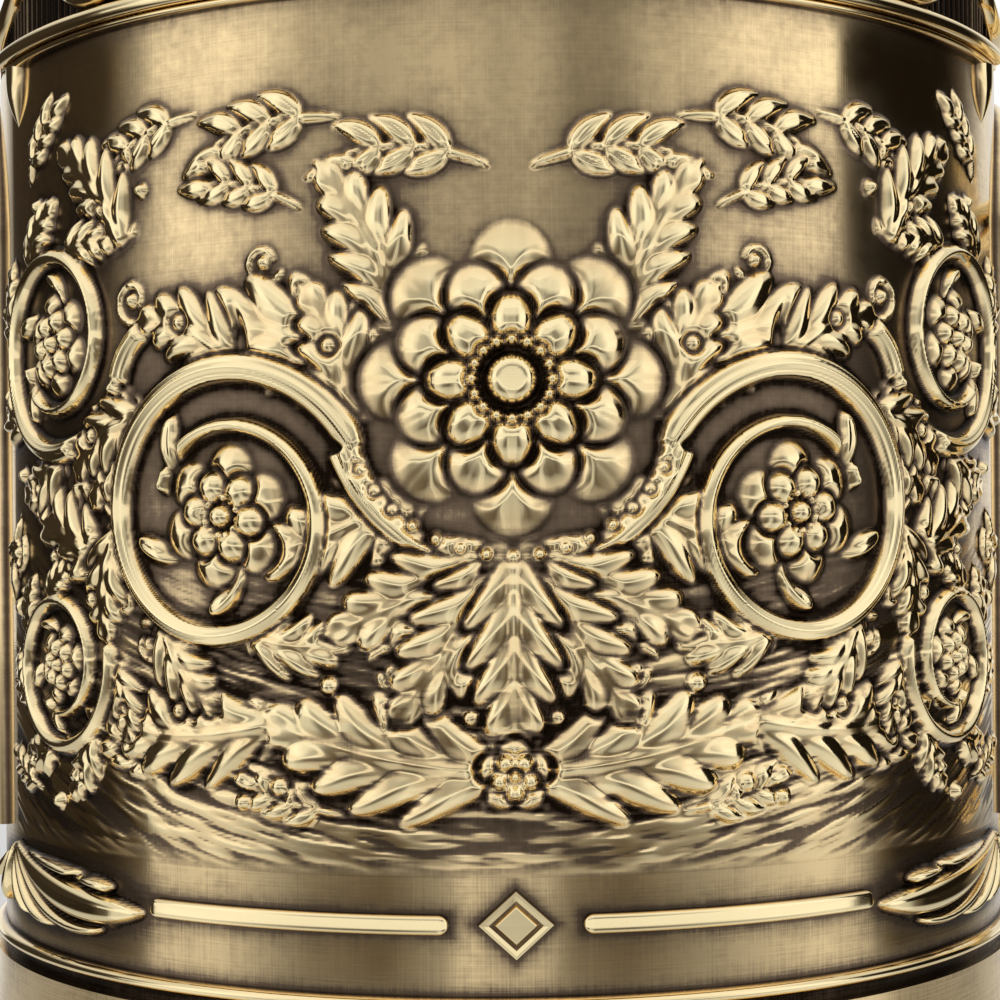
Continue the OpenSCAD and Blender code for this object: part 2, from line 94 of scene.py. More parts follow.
# How rubbed plain ground is, and the highest point of the relief over its ground sheet
GROUND_RUB = 0.56
RELIEF_TOP = 0.00106
# How deep a laid-on piece's back and a turned piece's back sit in what carries them, and
# the least height at which a cut piece stands over its ground
SUNK = 0.0001
SEAT = 0.0002
THIN = 0.00002

# A closed surface: its points, how rubbed each point is (0 dark to 1 bright), its
# four-sided faces, and the flat many-sided faces that close it
Shape = collections.namedtuple("Shape", "points rub quads caps")

# The finish of each of the record's material slots
FINISHES = {
    "brushed_aged_brass": "aged_finish",
    "relief_brass": "relief_finish",
    "polished_brass": "polished_finish",
    "blackened_brass": "blackened_finish",
}

# Surfaces


def grid_quads(rows, cols, round_rows=False, round_cols=False):
    """Corner numbers of the faces of a grid; a round direction joins its last line to
    its first."""
    r, c = np.meshgrid(
        np.arange(rows if round_rows else rows - 1),
        np.arange(cols if round_cols else cols - 1),
        indexing="ij",
    )
    r2, c2 = (r + 1) % rows, (c + 1) % cols
    corners = (r * cols + c, r * cols + c2, r2 * cols + c2, r2 * cols + c)
    return np.stack(corners, axis=-1).reshape(-1, 4)


def facing_out(shape):
    """Turns all faces round where the signed volume, a third of the sum of each face's
    middle times its area vector, comes out negative."""
    corner = shape.points[shape.quads]
    area = np.cross(corner[:, 2] - corner[:, 0], corner[:, 3] - corner[:, 1]) / 2
    volume = (corner.mean(axis=1) * area).sum()
    for cap in shape.caps:
        ring = shape.points[cap]
        area = np.cross(ring, np.roll(ring, -1, axis=0)).sum(axis=0) / 2
        volume += ring[0] @ area
    if volume >= 0:
        return shape
    caps = [cap[::-1] for cap in shape.caps]
    return shape._replace(quads=shape.quads[:, ::-1], caps=caps)


def rings_shape(rings, rub, closed_path=False):
    """A tube through a row of closed rings, an array of rings by points by 3. Without a
    closed path its two end rings become flat faces."""
    count, size = rings.shape[:2]
    quads = grid_quads(count, size, closed_path, True)
    first = np.arange(size)
    caps = [] if closed_path else [first[::-1], first + (count - 1) * size]
    rub = np.broadcast_to(rub, (count, size)).reshape(-1)
    return facing_out(Shape(rings.reshape(-1, 3), rub, quads, caps))


def joined(shapes):
    """Several closed surfaces as one."""
    starts = np.cumsum([0] + [len(s.points) for s in shapes])
    return Shape(
        np.concatenate([s.points for s in shapes]),
        np.concatenate([s.rub for s in shapes]),
        np.concatenate([s.quads + k for s, k in zip(shapes, starts)]),
        [cap + k for s, k in zip(shapes, starts) for cap in s.caps],
    )


def turned(shape, angle, mirrored=False):
    """The shape turned round the Z axis, after a mirroring across the plane x = 0."""
    points = shape.points * ((-1, 1, 1) if mirrored else (1, 1, 1))
    c, s = math.cos(angle), math.sin(angle)
    points = points @ np.array([[c, s, 0], [-s, c, 0], [0, 0, 1]])
    return facing_out(shape._replace(points=points))


def make_piece(name, shape, slot, node, sharp, finish=None, carved=None):
    """Puts a shape into a mesh object that rides on the root body, takes the finish of
    its slot and stands for a CAD node. Edges that bend more than the sharp angle, in
    degrees, stay sharp, or where a number of carved faces is given, all edges of the
    faces after those."""
    mesh = bpy.data.meshes.new(name)
    mesh.vertices.add(len(shape.points))
    mesh.vertices.foreach_set("co", shape.points.astype(np.float32).ravel())
    corners = np.concatenate([shape.quads.ravel()] + [np.asarray(c) for c in shape.caps])
    lengths = np.array([4] * len(shape.quads) + [len(c) for c in shape.caps])
    mesh.loops.add(len(corners))
    mesh.loops.foreach_set("vertex_index", corners.astype(np.int32))
    mesh.polygons.add(len(lengths))
    starts = np.concatenate([[0], np.cumsum(lengths)[:-1]])
    mesh.polygons.foreach_set("loop_start", starts.astype(np.int32))
    mesh.update(calc_edges=True)
    mesh.validate()
    mesh.shade_smooth()
    mesh.set_sharp_from_angle(angle=math.radians(sharp))
    if carved is not None:
        edge_of = np.empty(len(mesh.loops), dtype=np.int32)
        mesh.loops.foreach_get("edge_index", edge_of)
        crease = np.zeros(len(mesh.edges), dtype=bool)
        crease[edge_of[4 * carved:]] = True
        mesh.edges.foreach_set("use_edge_sharp", crease)
    rub = mesh.attributes.new("rub", "FLOAT", "POINT")
    rub.data.foreach_set("value", shape.rub.astype(np.float32))
    mesh.materials.append(bpy.data.materials[finish or FINISHES[slot]])
    piece = bpy.data.objects.new(name, mesh)
    bpy.context.scene.collection.objects.link(piece)
    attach(piece, "root")
    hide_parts(node)


def on_panels(name, node, shape, slot, sharp, corners=False, carved=None):
    """Places a front piece on both panels, or a right-hand front piece on the left and
    the right of each."""
    hands = (("_left", True), ("_right", False)) if corners else (("", False),)
    for face, angle in PANELS:
        for hand, flip in hands:
            make_piece(f"{name}_{face}{hand}", turned(shape, angle, flip), slot,
                       f"{node}_{face}{hand}", sharp, carved=carved)


def lathe(radii, heights, rub, steps, half_angle=None):
    """A profile carried round the Z axis: x = r sin a, y = -r cos a, z = height. With a
    half angle it runs that far to each side of -Y and is closed by two flat ends."""
    if half_angle is None:
        angle = np.linspace(0, 2 * np.pi, steps, endpoint=False)
    else:
        angle = np.linspace(-half_angle, half_angle, steps)
    a = angle[:, None]
    z = np.broadcast_to(heights, (steps, len(radii)))
    rings = np.stack([radii * np.sin(a), -radii * np.cos(a), z], axis=-1)
    return rings_shape(rings, rub, closed_path=half_angle is None)


def on_wall(u, z, r):
    """Points at arc length u from the panel's middle, height z and radius r, with the
    angle u over the wall's radius, counted from -Y towards +X."""
    u, z, r = np.broadcast_arrays(u, z, r)
    angle = u / WALL_R
    return np.stack([r * np.sin(angle), -r * np.cos(angle), z], axis=-1)


def facing(side, degrees):
    """An angle in degrees, mirrored for the left side, in radians."""
    return math.radians(degrees if side > 0 else 180 - degrees)


def dome(s, t):
    """A half-round section: the root of 1 - s squared, dark at its foot."""
    rise = np.sqrt(np.clip(1 - s**2, 0, 1)) + 0 * t
    return rise, 0.15 + 0.85 * rise


def tilted(s, t):
    """A flat face with rounded edges that leans back at its top: the root of 1 - s to
    the eighth, times 0.9 - 0.1 s."""
    rise = np.sqrt(np.clip(1 - s**8, 0, 1)) * (0.9 - 0.1 * s) + 0 * t
    return rise, np.clip(1.6 * rise - 0.3, 0, 1)


def channelled(s, t):
    """A half-round section with a groove along its middle."""
    rise = np.sqrt(np.clip(1 - s**2, 0, 1)) * (1 - 0.35 * np.exp(-((s / 0.22) ** 2)))
    groove = np.exp(-((s / 0.16) ** 2))
    return rise + 0 * t, np.clip(0.15 + 0.85 * rise - 0.4 * groove, 0, 1) + 0 * t


def veined(s, t):
    """A leaf's section: a dome with a sunk midrib and veins that lean forward."""
    lean = t * 9 - 2.2 * np.abs(s)
    vein = np.cos(2 * np.pi * lean) * np.abs(s) * (1 - s**2)
    midrib = np.exp(-((s / 0.14) ** 2))
    rise = np.sqrt(np.clip(1 - s**2, 0, 1)) * (1 - 0.35 * midrib) + 0.1 * vein
    rub = np.clip(0.2 + 0.8 * rise + 0.5 * vein - 0.45 * midrib, 0, 1)
    return np.clip(rise, 0, 1), rub


def sideways(u, z):
    """The unit step to the left of a line on the wall, along the arc length and along
    the height."""
    du, dz = np.gradient(u), np.gradient(z)
    length = np.hypot(du, dz)
    return (-dz / length)[:, None], (du / length)[:, None]


def wall_band(u, z, half_width, height, section=dome, across=17):
    """A band that follows a line on the wall. The line's arc length u and height z, the
    half width and the height over the wall are arrays along it; the section gives the
    share of the height for s from -1 to 1 across and t from 0 to 1 along."""
    count = len(u)
    t = np.linspace(0, 1, count)[:, None]
    s = np.sin(np.linspace(-np.pi / 2, np.pi / 2, across))[None, :]
    side_u, side_z = sideways(u, z)
    width = np.broadcast_to(half_width, count)[:, None]
    tall = np.broadcast_to(height, count)[:, None]
    rise, rub = section(s, t)
    along_u = u[:, None] + side_u * width * s
    along_z = z[:, None] + side_z * width * s
    top = on_wall(along_u, along_z, WALL_R + tall * rise)
    under = on_wall(along_u, along_z, WALL_R - SUNK)
    rings = np.concatenate([top, under[:, ::-1]], axis=1)
    return rings_shape(rings, np.concatenate([rub, 0 * rub], axis=1))


def blade_width(t, fullness=0.8):
    """A leaf's half width along it, from a point to its widest and back to a point: the
    sine of pi times t to the power of its fullness."""
    return np.clip(np.sin(np.pi * t**fullness), 0.03, 1)


def leaf_on_wall(u, z, angle, length, width, height):
    """A straight leaf on the wall, from its root at u and z, with the half width of a
    blade and a height that follows a fuller one."""
    t = np.linspace(0, 1, 33)
    reach = length * (t + t[1])
    half = blade_width(t) * width / 2
    rise = height * (0.35 + 0.65 * blade_width(t, 0.6))
    return wall_band(u + reach * math.cos(angle), z + reach * math.sin(angle), half, rise,
                     veined, 15)


def boss(u, z, r, height, rub, base=WALL_R, steps=28, skirt=()):
    """A domed boss on the wall. At the share e of its radius it stands over its base by
    the height times the root of 1 - e squared, and is rubbed by the first of the three
    rub numbers less the second times e to the power of the third. A skirt lists the
    heights of more rings at its edge."""
    full, fall, power = rub
    b = np.linspace(0, 2 * np.pi, steps, endpoint=False)[None, :]
    e = np.sin(np.linspace(0.06, np.pi / 2, 12))
    rise = np.append(height * np.sqrt(1 - e**2), skirt)[:, None]
    e = np.append(e, np.ones(len(skirt)))[:, None]
    points = on_wall(u + r * e * np.cos(b), z + r * e * np.sin(b), base + rise)
    return rings_shape(points, full - fall * e**power)


# Brass


def add_node(tree, kind, values=None, **settings):
    """Adds a shader node; values are its sockets' numbers or the sockets they join."""
    node = tree.nodes.new(kind)
    for name, value in settings.items():
        setattr(node, name, value)
    for name, value in (values or {}).items():
        if isinstance(value, bpy.types.NodeSocket):
            tree.links.new(value, node.inputs[name])
        else:
            node.inputs[name].default_value = value
    return node


def add_math(tree, operation, first, second=0.0):
    """Adds one sum on sockets or numbers and returns its result."""
    node = add_node(tree, "ShaderNodeMath", {0: first, 1: second}, operation=operation)
    return node.outputs[0]


def object_place(tree):
    """The place of the shaded point in the object's own coordinates."""
    return add_node(tree, "ShaderNodeTexCoord").outputs["Object"]


def angle_round(tree, axes):
    """The angle of a place round the Z axis, from -Y towards +X."""
    back = add_math(tree, "MULTIPLY", axes["Y"], -1.0)
    return add_math(tree, "ARCTAN2", axes["X"], back)


def wall_coordinates(tree):
    """Object coordinates unrolled from the wall: arc length, radius and height."""
    axes = add_node(tree, "ShaderNodeSeparateXYZ", {0: object_place(tree)}).outputs
    arc = add_math(tree, "MULTIPLY", angle_round(tree, axes), WALL_R)
    across = add_math(tree, "POWER", axes["X"], 2.0)
    depth = add_math(tree, "POWER", axes["Y"], 2.0)
    radius = add_math(tree, "SQRT", add_math(tree, "ADD", across, depth))
    values = {"X": arc, "Y": radius, "Z": axes["Z"]}
    return add_node(tree, "ShaderNodeCombineXYZ", values).outputs[0]


def stretched_noise(tree, place, scale, detail=2.0):
    """Noise whose grain has its own scale per axis, in cells a metre, as brush strokes
    have."""
    mapped = add_node(tree, "ShaderNodeMapping", {"Vector": place, "Scale": scale})
    values = {"Vector": mapped.outputs[0], "Scale": 1.0, "Detail": detail,
              "Roughness": 0.6}
    return add_node(tree, "ShaderNodeTexNoise", values).outputs["Fac"]


def shifted(tree, noise, amount):
    """A noise moved to swing round zero by an amount."""
    centred = add_math(tree, "SUBTRACT", noise, 0.5)
    return add_math(tree, "MULTIPLY", centred, amount)


def ramp(tree, factor, stops):
    """A colour ramp with the given stops of place and colour."""
    node = add_node(tree, "ShaderNodeValToRGB", {"Fac": factor})
    elements = node.color_ramp.elements
    while len(elements) < len(stops):
        elements.new(1.0)
    for element, (place, colour) in zip(elements, stops):
        element.position = place
        element.color = (*colour, 1.0)
    return node.outputs["Color"]


def blank_material(name):
    """A new material without nodes, and its tree."""
    material = bpy.data.materials.new(name)
    material.use_nodes = True
    material.node_tree.nodes.clear()
    return material, material.node_tree


def brass(name, tones, brushing, mottling=0.2, round_wall=True):
    """A worn brass. How rubbed a point is comes from the piece's rub attribute, which on
    the relief panels also holds painted shade under the moulding, and is broken up by
    mottling and by brush strokes up and down and across. Rubbed metal is bright and
    smooth, the rest is dark patina."""
    colours = bpy.context.scene.holder_brass
    tree = blank_material(name)[1]
    place = wall_coordinates(tree) if round_wall else object_place(tree)
    upright = stretched_noise(tree, place, (9000.0, 2500.0, 160.0))
    level = stretched_noise(tree, place, (200.0, 2500.0, 9000.0))
    cloudy = stretched_noise(tree, place, (260.0, 260.0, 260.0), 4.0)
    spots = stretched_noise(tree, place, (1500.0, 1500.0, 1500.0), 3.0)
    strokes = add_math(tree, "MULTIPLY", add_math(tree, "ADD", upright, level), 0.5)
    rub = add_node(tree, "ShaderNodeAttribute", attribute_name="rub").outputs["Fac"]
    for noise, amount in ((cloudy, mottling), (spots, 0.7 * mottling),
                          (strokes, 0.5 * brushing)):
        rub = add_math(tree, "ADD", shifted(tree, noise, amount), rub)
    rough_stops = [(0.0, (0.4,) * 3), (0.32, (0.24,) * 3), (0.56, (0.085,) * 3)]
    values = {"Height": strokes, "Strength": 0.5 * brushing, "Distance": 0.00001}
    bump = add_node(tree, "ShaderNodeBump", values)
    shader = add_node(tree, "ShaderNodeBsdfPrincipled", {
        "Base Color": ramp(tree, rub, [(at, getattr(colours, tone)) for at, tone in tones]),
        "Metallic": 1.0,
        "Roughness": ramp(tree, rub, rough_stops),
        "Normal": bump.outputs[0],
    })
    add_node(tree, "ShaderNodeOutputMaterial", {"Surface": shader.outputs[0]})


# The tones from rub 0 to 1, for all finishes but the blackened one
FULL_TONES = [(0.0, "recess"), (0.3, "patina"), (0.56, "worn"), (1.0, "bright")]


class HolderBrass(bpy.types.PropertyGroup):
    """Colours of the brass, from its recesses to its rubbed edges."""

    recess: bpy.props.FloatVectorProperty(
        name="Recess",
        description="Blackened brass at the foot of the relief",
        subtype="COLOR",
        default=(0.012, 0.007, 0.004),
    )
    patina: bpy.props.FloatVectorProperty(
        name="Patina",
        description="Brown patina on the ground near the relief",
        subtype="COLOR",
        default=(0.18, 0.128, 0.085),
    )
    worn: bpy.props.FloatVectorProperty(
        name="Worn",
        description="Brushed brass of the plain ground",
        subtype="COLOR",
        default=(0.92, 0.7, 0.38),
    )
    bright: bpy.props.FloatVectorProperty(
        name="Bright",
        description="Brass rubbed bright on the high parts",
        subtype="COLOR",
        default=(0.98, 0.82, 0.48),
    )


class HOLDER_OT_materials(bpy.types.Operator):
    """Make the worn brasses"""

    bl_idname = "holder.materials"
    bl_label = "Brasses"

    def execute(self, context):
        brass("aged_finish", FULL_TONES, 0.8)
        brass("relief_finish", FULL_TONES, 0.35, 0.22)
        brass("polished_finish", FULL_TONES, 0.25, 0.16)
        brass("handle_finish", FULL_TONES, 0.2, 0.16, round_wall=False)
        dark = [(0.0, "recess"), (0.45, "recess"), (0.78, "patina"), (1.0, "worn")]
        brass("blackened_finish", dark, 0.4)
        return {"FINISHED"}


# Turned work


class HOLDER_OT_turned_work(bpy.types.Operator):
    """Turn the sleeve, the base plate, the foot and the ring bead"""

    bl_idname = "holder.turned_work"
    bl_label = "Turned work"

    def execute(self, context):
        for name, shape, slot, node, sharp in (
            ("sleeve_tube", self.sleeve(), "brushed_aged_brass", "sleeve", 30),
            ("base_disc", self.base_plate(), "brushed_aged_brass", "base_plate", 30),
            ("foot_shell", self.foot(), "brushed_aged_brass", "foot", 50),
            ("ring_half_round", self.ring_bead(), "polished_brass", "ring_bead", 50),
        ):
            make_piece(name, shape, slot, node, sharp)
        return {"FINISHED"}

    def sleeve(self):
        """A tube with a lip at its foot and slightly rounded edges at its top."""
        ease, solder, lip = 0.0003, 0.00005, 0.0024
        plate_top, plate_low = high("base_plate").z, low("base_plate").z
        step_r = high("base_plate").x + solder
        lip_r = BORE_R - lip
        band_z = np.linspace(RING_TOP - SEAT, PICTURE_LOW + SEAT, 50)
        hidden_z = np.linspace(PICTURE_LOW + 10 * SEAT, SLEEVE_TOP - ease, 20)
        wall_z = np.append(band_z, hidden_z)
        inner = np.array([
            (WALL_R - ease, SLEEVE_TOP), (BORE_R + ease, SLEEVE_TOP),
            (BORE_R, SLEEVE_TOP - ease), (BORE_R, plate_top), (step_r, plate_top),
            (step_r, plate_low), (lip_r, plate_low), (lip_r, SLEEVE_LOW),
        ])
        radii = np.concatenate([[WALL_R], np.full(len(wall_z), WALL_R), inner[:, 0]])
        heights = np.concatenate([[SLEEVE_LOW], wall_z, inner[:, 1]])
        steps = 720
        angle = np.linspace(0, 2 * np.pi, steps, endpoint=False)
        rub = np.full((steps, len(radii)), 0.42)
        rub[:, 1:len(wall_z) + 1] = self.wall_wear(angle[:, None], wall_z[None, :])
        return lathe(radii, heights, rub, steps)

    def wall_wear(self, angle, z):
        """How rubbed the plain wall is: dark by the ring, the bars, the diamonds and
        the leaves, and brighter with the distance from them by an exponential. Both
        panels are folded onto one half."""
        reach = 0.0005
        u = WALL_R * np.arcsin(np.abs(np.sin(angle)))
        gap = z - RING_TOP
        for node, is_leaf in (("bar_front_right", False), ("corner_leaf_front_right", True)):
            start = WALL_R * math.asin(low(node).x / WALL_R)
            end = WALL_R * math.atan2(high(node).x, -high(node).y)
            half_u, half_z = (end - start) / 2, tallness(node) / 2
            off_u = np.abs(u - (start + end) / 2)
            off_z = np.abs(z - middle(node))
            if is_leaf:
                off = (np.hypot(off_u / half_u, off_z / half_z) - 1) * half_z
            else:
                off = np.hypot(np.maximum(off_u - half_u, 0), np.maximum(off_z - half_z, 0))
            gap = np.minimum(gap, np.maximum(off, 0))
        half_w, half_h = high("diamond_front").x, tallness("diamond_front") / 2
        off = u / half_w + np.abs(z - middle("diamond_front")) / half_h - 1
        gap = np.minimum(gap, np.maximum(off, 0) * half_w / math.sqrt(2))
        return GROUND_RUB - 0.42 * np.exp(-gap / reach)

    def base_plate(self):
        """A disc with fine turned rings, a cosine of the radius in depth and in wear."""
        pitch, depth = 0.0011, 0.00012
        r = np.linspace(0.0004, high("base_plate").x, 90)
        top = high("base_plate").z - depth * (1 + np.cos(r / pitch)) / 2
        radii = np.append(r, [r[-1], r[0]])
        heights = np.append(top, [low("base_plate").z] * 2)
        return lathe(radii, heights, 0.45 + 0.15 * np.cos(radii / pitch), 240)

    def foot(self):
        """A hollow sweep, a quarter of an ellipse, from a narrow upper edge down to a
        half-round rim, with two turned lines above the rim."""
        rim_r, lip, wall, line_depth = 0.0013, 0.0007, 0.0015, 0.0002
        rim_h = 2 * rim_r
        sweep_w = FOOT_R - WALL_R - lip - rim_r
        a = np.linspace(0, np.pi / 2, 40)
        sweep_r = WALL_R + lip + sweep_w * (1 - np.cos(a))
        sweep_z = FOOT_TOP - (FOOT_TOP - rim_h) * np.sin(a)
        line = sum(np.exp(-(((a - place) / 0.04) ** 2)) for place in (1.25, 1.05))
        b = np.linspace(np.pi / 2, -np.pi / 2, 24)[1:]
        rim_x = FOOT_R - rim_r + rim_r * np.cos(b)
        rim_z = rim_r + rim_r * np.sin(b)
        radii = np.concatenate([
            [WALL_R], sweep_r - line_depth * line, rim_x, [FOOT_R - rim_r - wall, WALL_R],
        ])
        heights = np.concatenate([[FOOT_TOP], sweep_z, rim_z, [0, SLEEVE_LOW]])
        rub = np.concatenate([
            [0.3], 0.54 - 0.4 * line, 0.6 + 0.35 * np.cos(b), [0.2, 0.2],
        ])
        return lathe(radii, heights, rub, 480)

    def ring_bead(self):
        """A half-round ring seated on the sleeve, rubbed with the cosine of its turn."""
        half = (RING_TOP - RING_LOW) / 2
        out = high("ring_bead").x - WALL_R
        b = np.linspace(-np.pi / 2, np.pi / 2, 20)
        back = WALL_R - SEAT
        radii = np.concatenate([[back], WALL_R + out * np.cos(b), [back]])
        heights = RING_LOW + half + half * np.concatenate([[-1], np.sin(b), [1]])
        rub = np.concatenate([[0.1], 0.2 + 0.75 * np.cos(b), [0.1]])
        return lathe(radii, heights, rub, 480)


# Relief panels


# The edge value of places that lie beyond a motif's ends
OUTSIDE = 9.0


class Carving:
    """A field of heights, in metres, on a grid of arc length u and height v from the
    middle of a zone of the wall. Motifs are stamped onto it, each cutting a moat round
    itself into what is already there."""

    def __init__(self, width, height, cell):
        cols = int(round(width / cell)) + 1
        rows = int(round(height / cell)) + 1
        self.u = np.linspace(-width / 2, width / 2, cols)
        self.v = np.linspace(-height / 2, height / 2, rows)
        self.h = np.zeros((rows, cols))
        self.scuff_and_shade = np.zeros((rows, cols))
        self.cell = cell

    def window(self, u, v, reach):
        """The grid's rows and columns near a point, and their places from it."""
        rows = slice(*np.searchsorted(self.v, (v - reach, v + reach)))
        cols = slice(*np.searchsorted(self.u, (u - reach, u + reach)))
        du, dv = np.meshgrid(self.u[cols] - u, self.v[rows] - v)
        return (rows, cols), du, dv

    def stamp(self, where, height, edge, moat=0.3):
        """Lays a motif on the field. The edge is below 1 inside the motif; from 1 to
        1 + moat what is there sinks to the ground."""
        field = self.h[where]
        field *= np.clip((edge - 1) / moat, 0, 1) ** 0.5
        np.maximum(field, np.where(edge < 1, height, 0), out=field)

    def bead(self, u, v, r, height):
        """A round berry: the height times the root of 1 - e squared."""
        where, du, dv = self.window(u, v, r * 1.6)
        edge = np.hypot(du, dv) / r
        rise = height * np.sqrt(np.clip(1 - edge**2, 0, 1))
        self.stamp(where, rise, edge, 0.45)

    def midrib(self, u, v, angle, length, bend, reach):
        """A midrib that turns evenly by the bend from a point on, an arc of a circle.
        Gives the window that reaches that many lengths round the point, and for its
        places the share along the midrib, the distance from it in lengths, and whether
        they lie between its ends."""
        where, du, dv = self.window(u, v, length * reach)
        c, s = math.cos(angle), math.sin(angle)
        p, q = du * c + dv * s, dv * c - du * s
        radius = length / max(abs(bend), 0.01)
        q = q * (1.0 if bend >= 0 else -1.0)
        along = radius * np.arctan2(p, radius - q) / length
        across = np.abs(radius - np.hypot(p, q - radius)) / length
        return where, np.clip(along, 0, 1), across, (along > 0) & (along < 1)

    def leaf(self, u, v, angle, length, width, height, bend, veins, ribbed=0.3):
        """A blade along a midrib. With s along the midrib and t across it, the height
        is a dome over t with a sunk midrib and veins that lean forward."""
        where, share, across, inside = self.midrib(u, v, angle, length, bend, 1.25)
        half = np.sin(np.pi * share**0.75) ** 0.8 * width / length / 2
        edge = np.where(inside, across / np.maximum(half, 1e-4), OUTSIDE)
        side = np.clip(edge, 0, 1)
        midrib = np.exp(-((side / 0.16) ** 2))
        lean = share - 0.5 * across
        vein = np.cos(2 * np.pi * veins * lean) * side * (1 - side**2)
        body = (1 - side**2.5) ** 0.6 * (1 - ribbed * midrib) + 0.14 * vein
        lift = 0.45 + 0.55 * np.sin(np.pi * share**0.6)
        self.stamp(where, height * body * lift, edge, 0.4)

    def acanthus(self, u, v, angle, length, width, height, bend=0.0, lobes=5):
        """A broad leaf along a midrib. Its lobes lean forward: with s along the midrib
        and t across it, both in leaf lengths, a fold is the size of the sine of lobes
        times s less 1.1 t. The fold notches the outline and sinks a crease from each
        notch towards the midrib."""
        where, share, across, inside = self.midrib(u, v, angle, length, bend, 1.3)
        lean = share - 1.1 * across
        phase = np.pi * (lobes * lean + 0.25)
        fold = np.abs(np.sin(phase))
        envelope = np.sin(np.pi * (0.1 + 0.9 * share) ** 0.9) ** 0.75
        half = envelope * width / length / 2 * (0.58 + 0.42 * fold**0.6)
        edge = np.where(inside, across / np.maximum(half, 1e-4), OUTSIDE)
        side = np.clip(edge, 0, 1)
        vein = np.cos(4 * phase) * side * (1 - side**2)
        rib = np.exp(-((across * length / (0.045 * width)) ** 2)) * (1 - share)
        channel = np.exp(-((across * length / (0.11 * width)) ** 2))
        crease = (1 - fold) * (0.12 + 0.5 * side**1.2)
        body = (1 - side**3) ** 0.6 * (0.94 - crease) + 0.05 * vein
        body = body * (1 - 0.35 * channel) + 0.4 * rib
        lift = 0.6 + 0.4 * np.sin(np.pi * share**0.7)
        self.stamp(where, height * np.clip(body * lift, 0, 1), edge)

    def sprig(self, u, v, angle, length, height, bend):
        """A thin stem with pairs of small blades and one more at its end."""
        pairs = 3
        self.leaf(u, v, angle, length, length * 0.07, height * 0.9, bend, 0, 0.0)
        for k in range(pairs):
            t = 0.25 + 0.6 * k / pairs
            at_u = u + t * length * math.cos(angle + bend * t / 2)
            at_v = v + t * length * math.sin(angle + bend * t / 2)
            for side in (-1, 1):
                self.leaf(at_u, at_v, angle + bend * t + side * 0.85, length * 0.34,
                          length * 0.14, height, -side * 0.7, 2)
        end = angle + bend / 2
        self.leaf(u + 0.8 * length * math.cos(end), v + 0.8 * length * math.sin(end),
                  angle + bend, length * 0.34, length * 0.15, height, 0.0, 2)

    def ring_stem(self, u, v, r, start, sweep, w0, w1, height, curl=0.0):
        """A grooved stem along an arc of radius r round a point, from a start angle
        through a sweep, its width going from w0 to w1 after a rounded start; curl draws
        it in by that share of r."""
        where, du, dv = self.window(u, v, r + max(w0, w1))
        rho, angle = np.hypot(du, dv), np.arctan2(dv, du)
        hand = 1.0 if sweep >= 0 else -1.0
        span = abs(sweep)
        best = np.full(rho.shape, OUTSIDE)
        first = np.mod(hand * (angle - start), 2 * np.pi)
        for turn in range(int(span // (2 * np.pi)) + 1):
            t = (first + 2 * np.pi * turn) / span
            share = np.clip(t, 0, 1)
            rounding = np.sqrt(np.clip(share * span * r / w0, 0.01, 1))
            half = (w0 + (w1 - w0) * share) / 2 * rounding
            off = np.abs(rho - r * (1 - curl * share)) / half
            best = np.minimum(best, np.where(t <= 1, off, OUTSIDE))
        side = np.clip(best, 0, 1)
        groove = 1 - 0.3 * np.exp(-(((side - 0.35) / 0.16) ** 2))
        self.stamp(where, height * np.sqrt(1 - side**2) * groove, best)

    def tendril(self, u, v, r, start, hand, height):
        """A thin curl that ends in a berry."""
        turn = math.radians(330)
        self.ring_stem(u, v, r, start, hand * turn, r * 0.3, r * 0.2, height, 0.55)
        self.bead(u, v, r * 0.3, height * 1.2)

    def pearls(self, u, v, r, start, sweep, count, size, height):
        """A row of beads along an arc."""
        for a in np.linspace(start, start + sweep, count):
            self.bead(u + r * math.cos(a), v + r * math.sin(a), size, height)

    def flower(self, u, v, r, petals, height, turn, rows=3):
        """Rows of petals round a ring of stamens and a heart. A petal's outline is r
        times 0.66 + 0.34 of a power of the cosine's size; it is cupped, with fine
        radial creases."""
        where, du, dv = self.window(u, v, r * 1.3)
        rho, angle = np.hypot(du, dv), np.arctan2(dv, du)
        for row in range(rows):
            size = 1 - 0.66 * row / rows
            phase = petals * (angle - turn) / 2 + row * np.pi / 2
            ridge = np.abs(np.cos(phase))
            edge = rho / (r * size * (0.66 + 0.34 * ridge**0.55))
            side = np.clip(edge, 0, 1)
            crease = np.exp(-((np.sin(phase) / 0.1) ** 2)) * side
            fine = np.cos(phase * 14) * side * (1 - side) * ridge
            cup = np.sin(np.pi * np.clip(side, 0.02, 1) ** 1.7) ** 0.5
            body = (0.3 + 0.7 * ridge**0.7) * (0.4 + 0.6 * cup) - 0.12 * crease
            lift = 0.66 + 0.34 * row / max(rows - 1, 1)
            self.stamp(where, height * lift * (body + 0.16 * fine) * (1 - side**8),
                       edge, 0.16)
        self.pearls(u, v, r * 0.24, turn, 2 * np.pi * (1 - 0.5 / petals), petals * 2,
                    r * 0.05, height)
        self.bead(u, v, r * 0.17, height * 1.12)

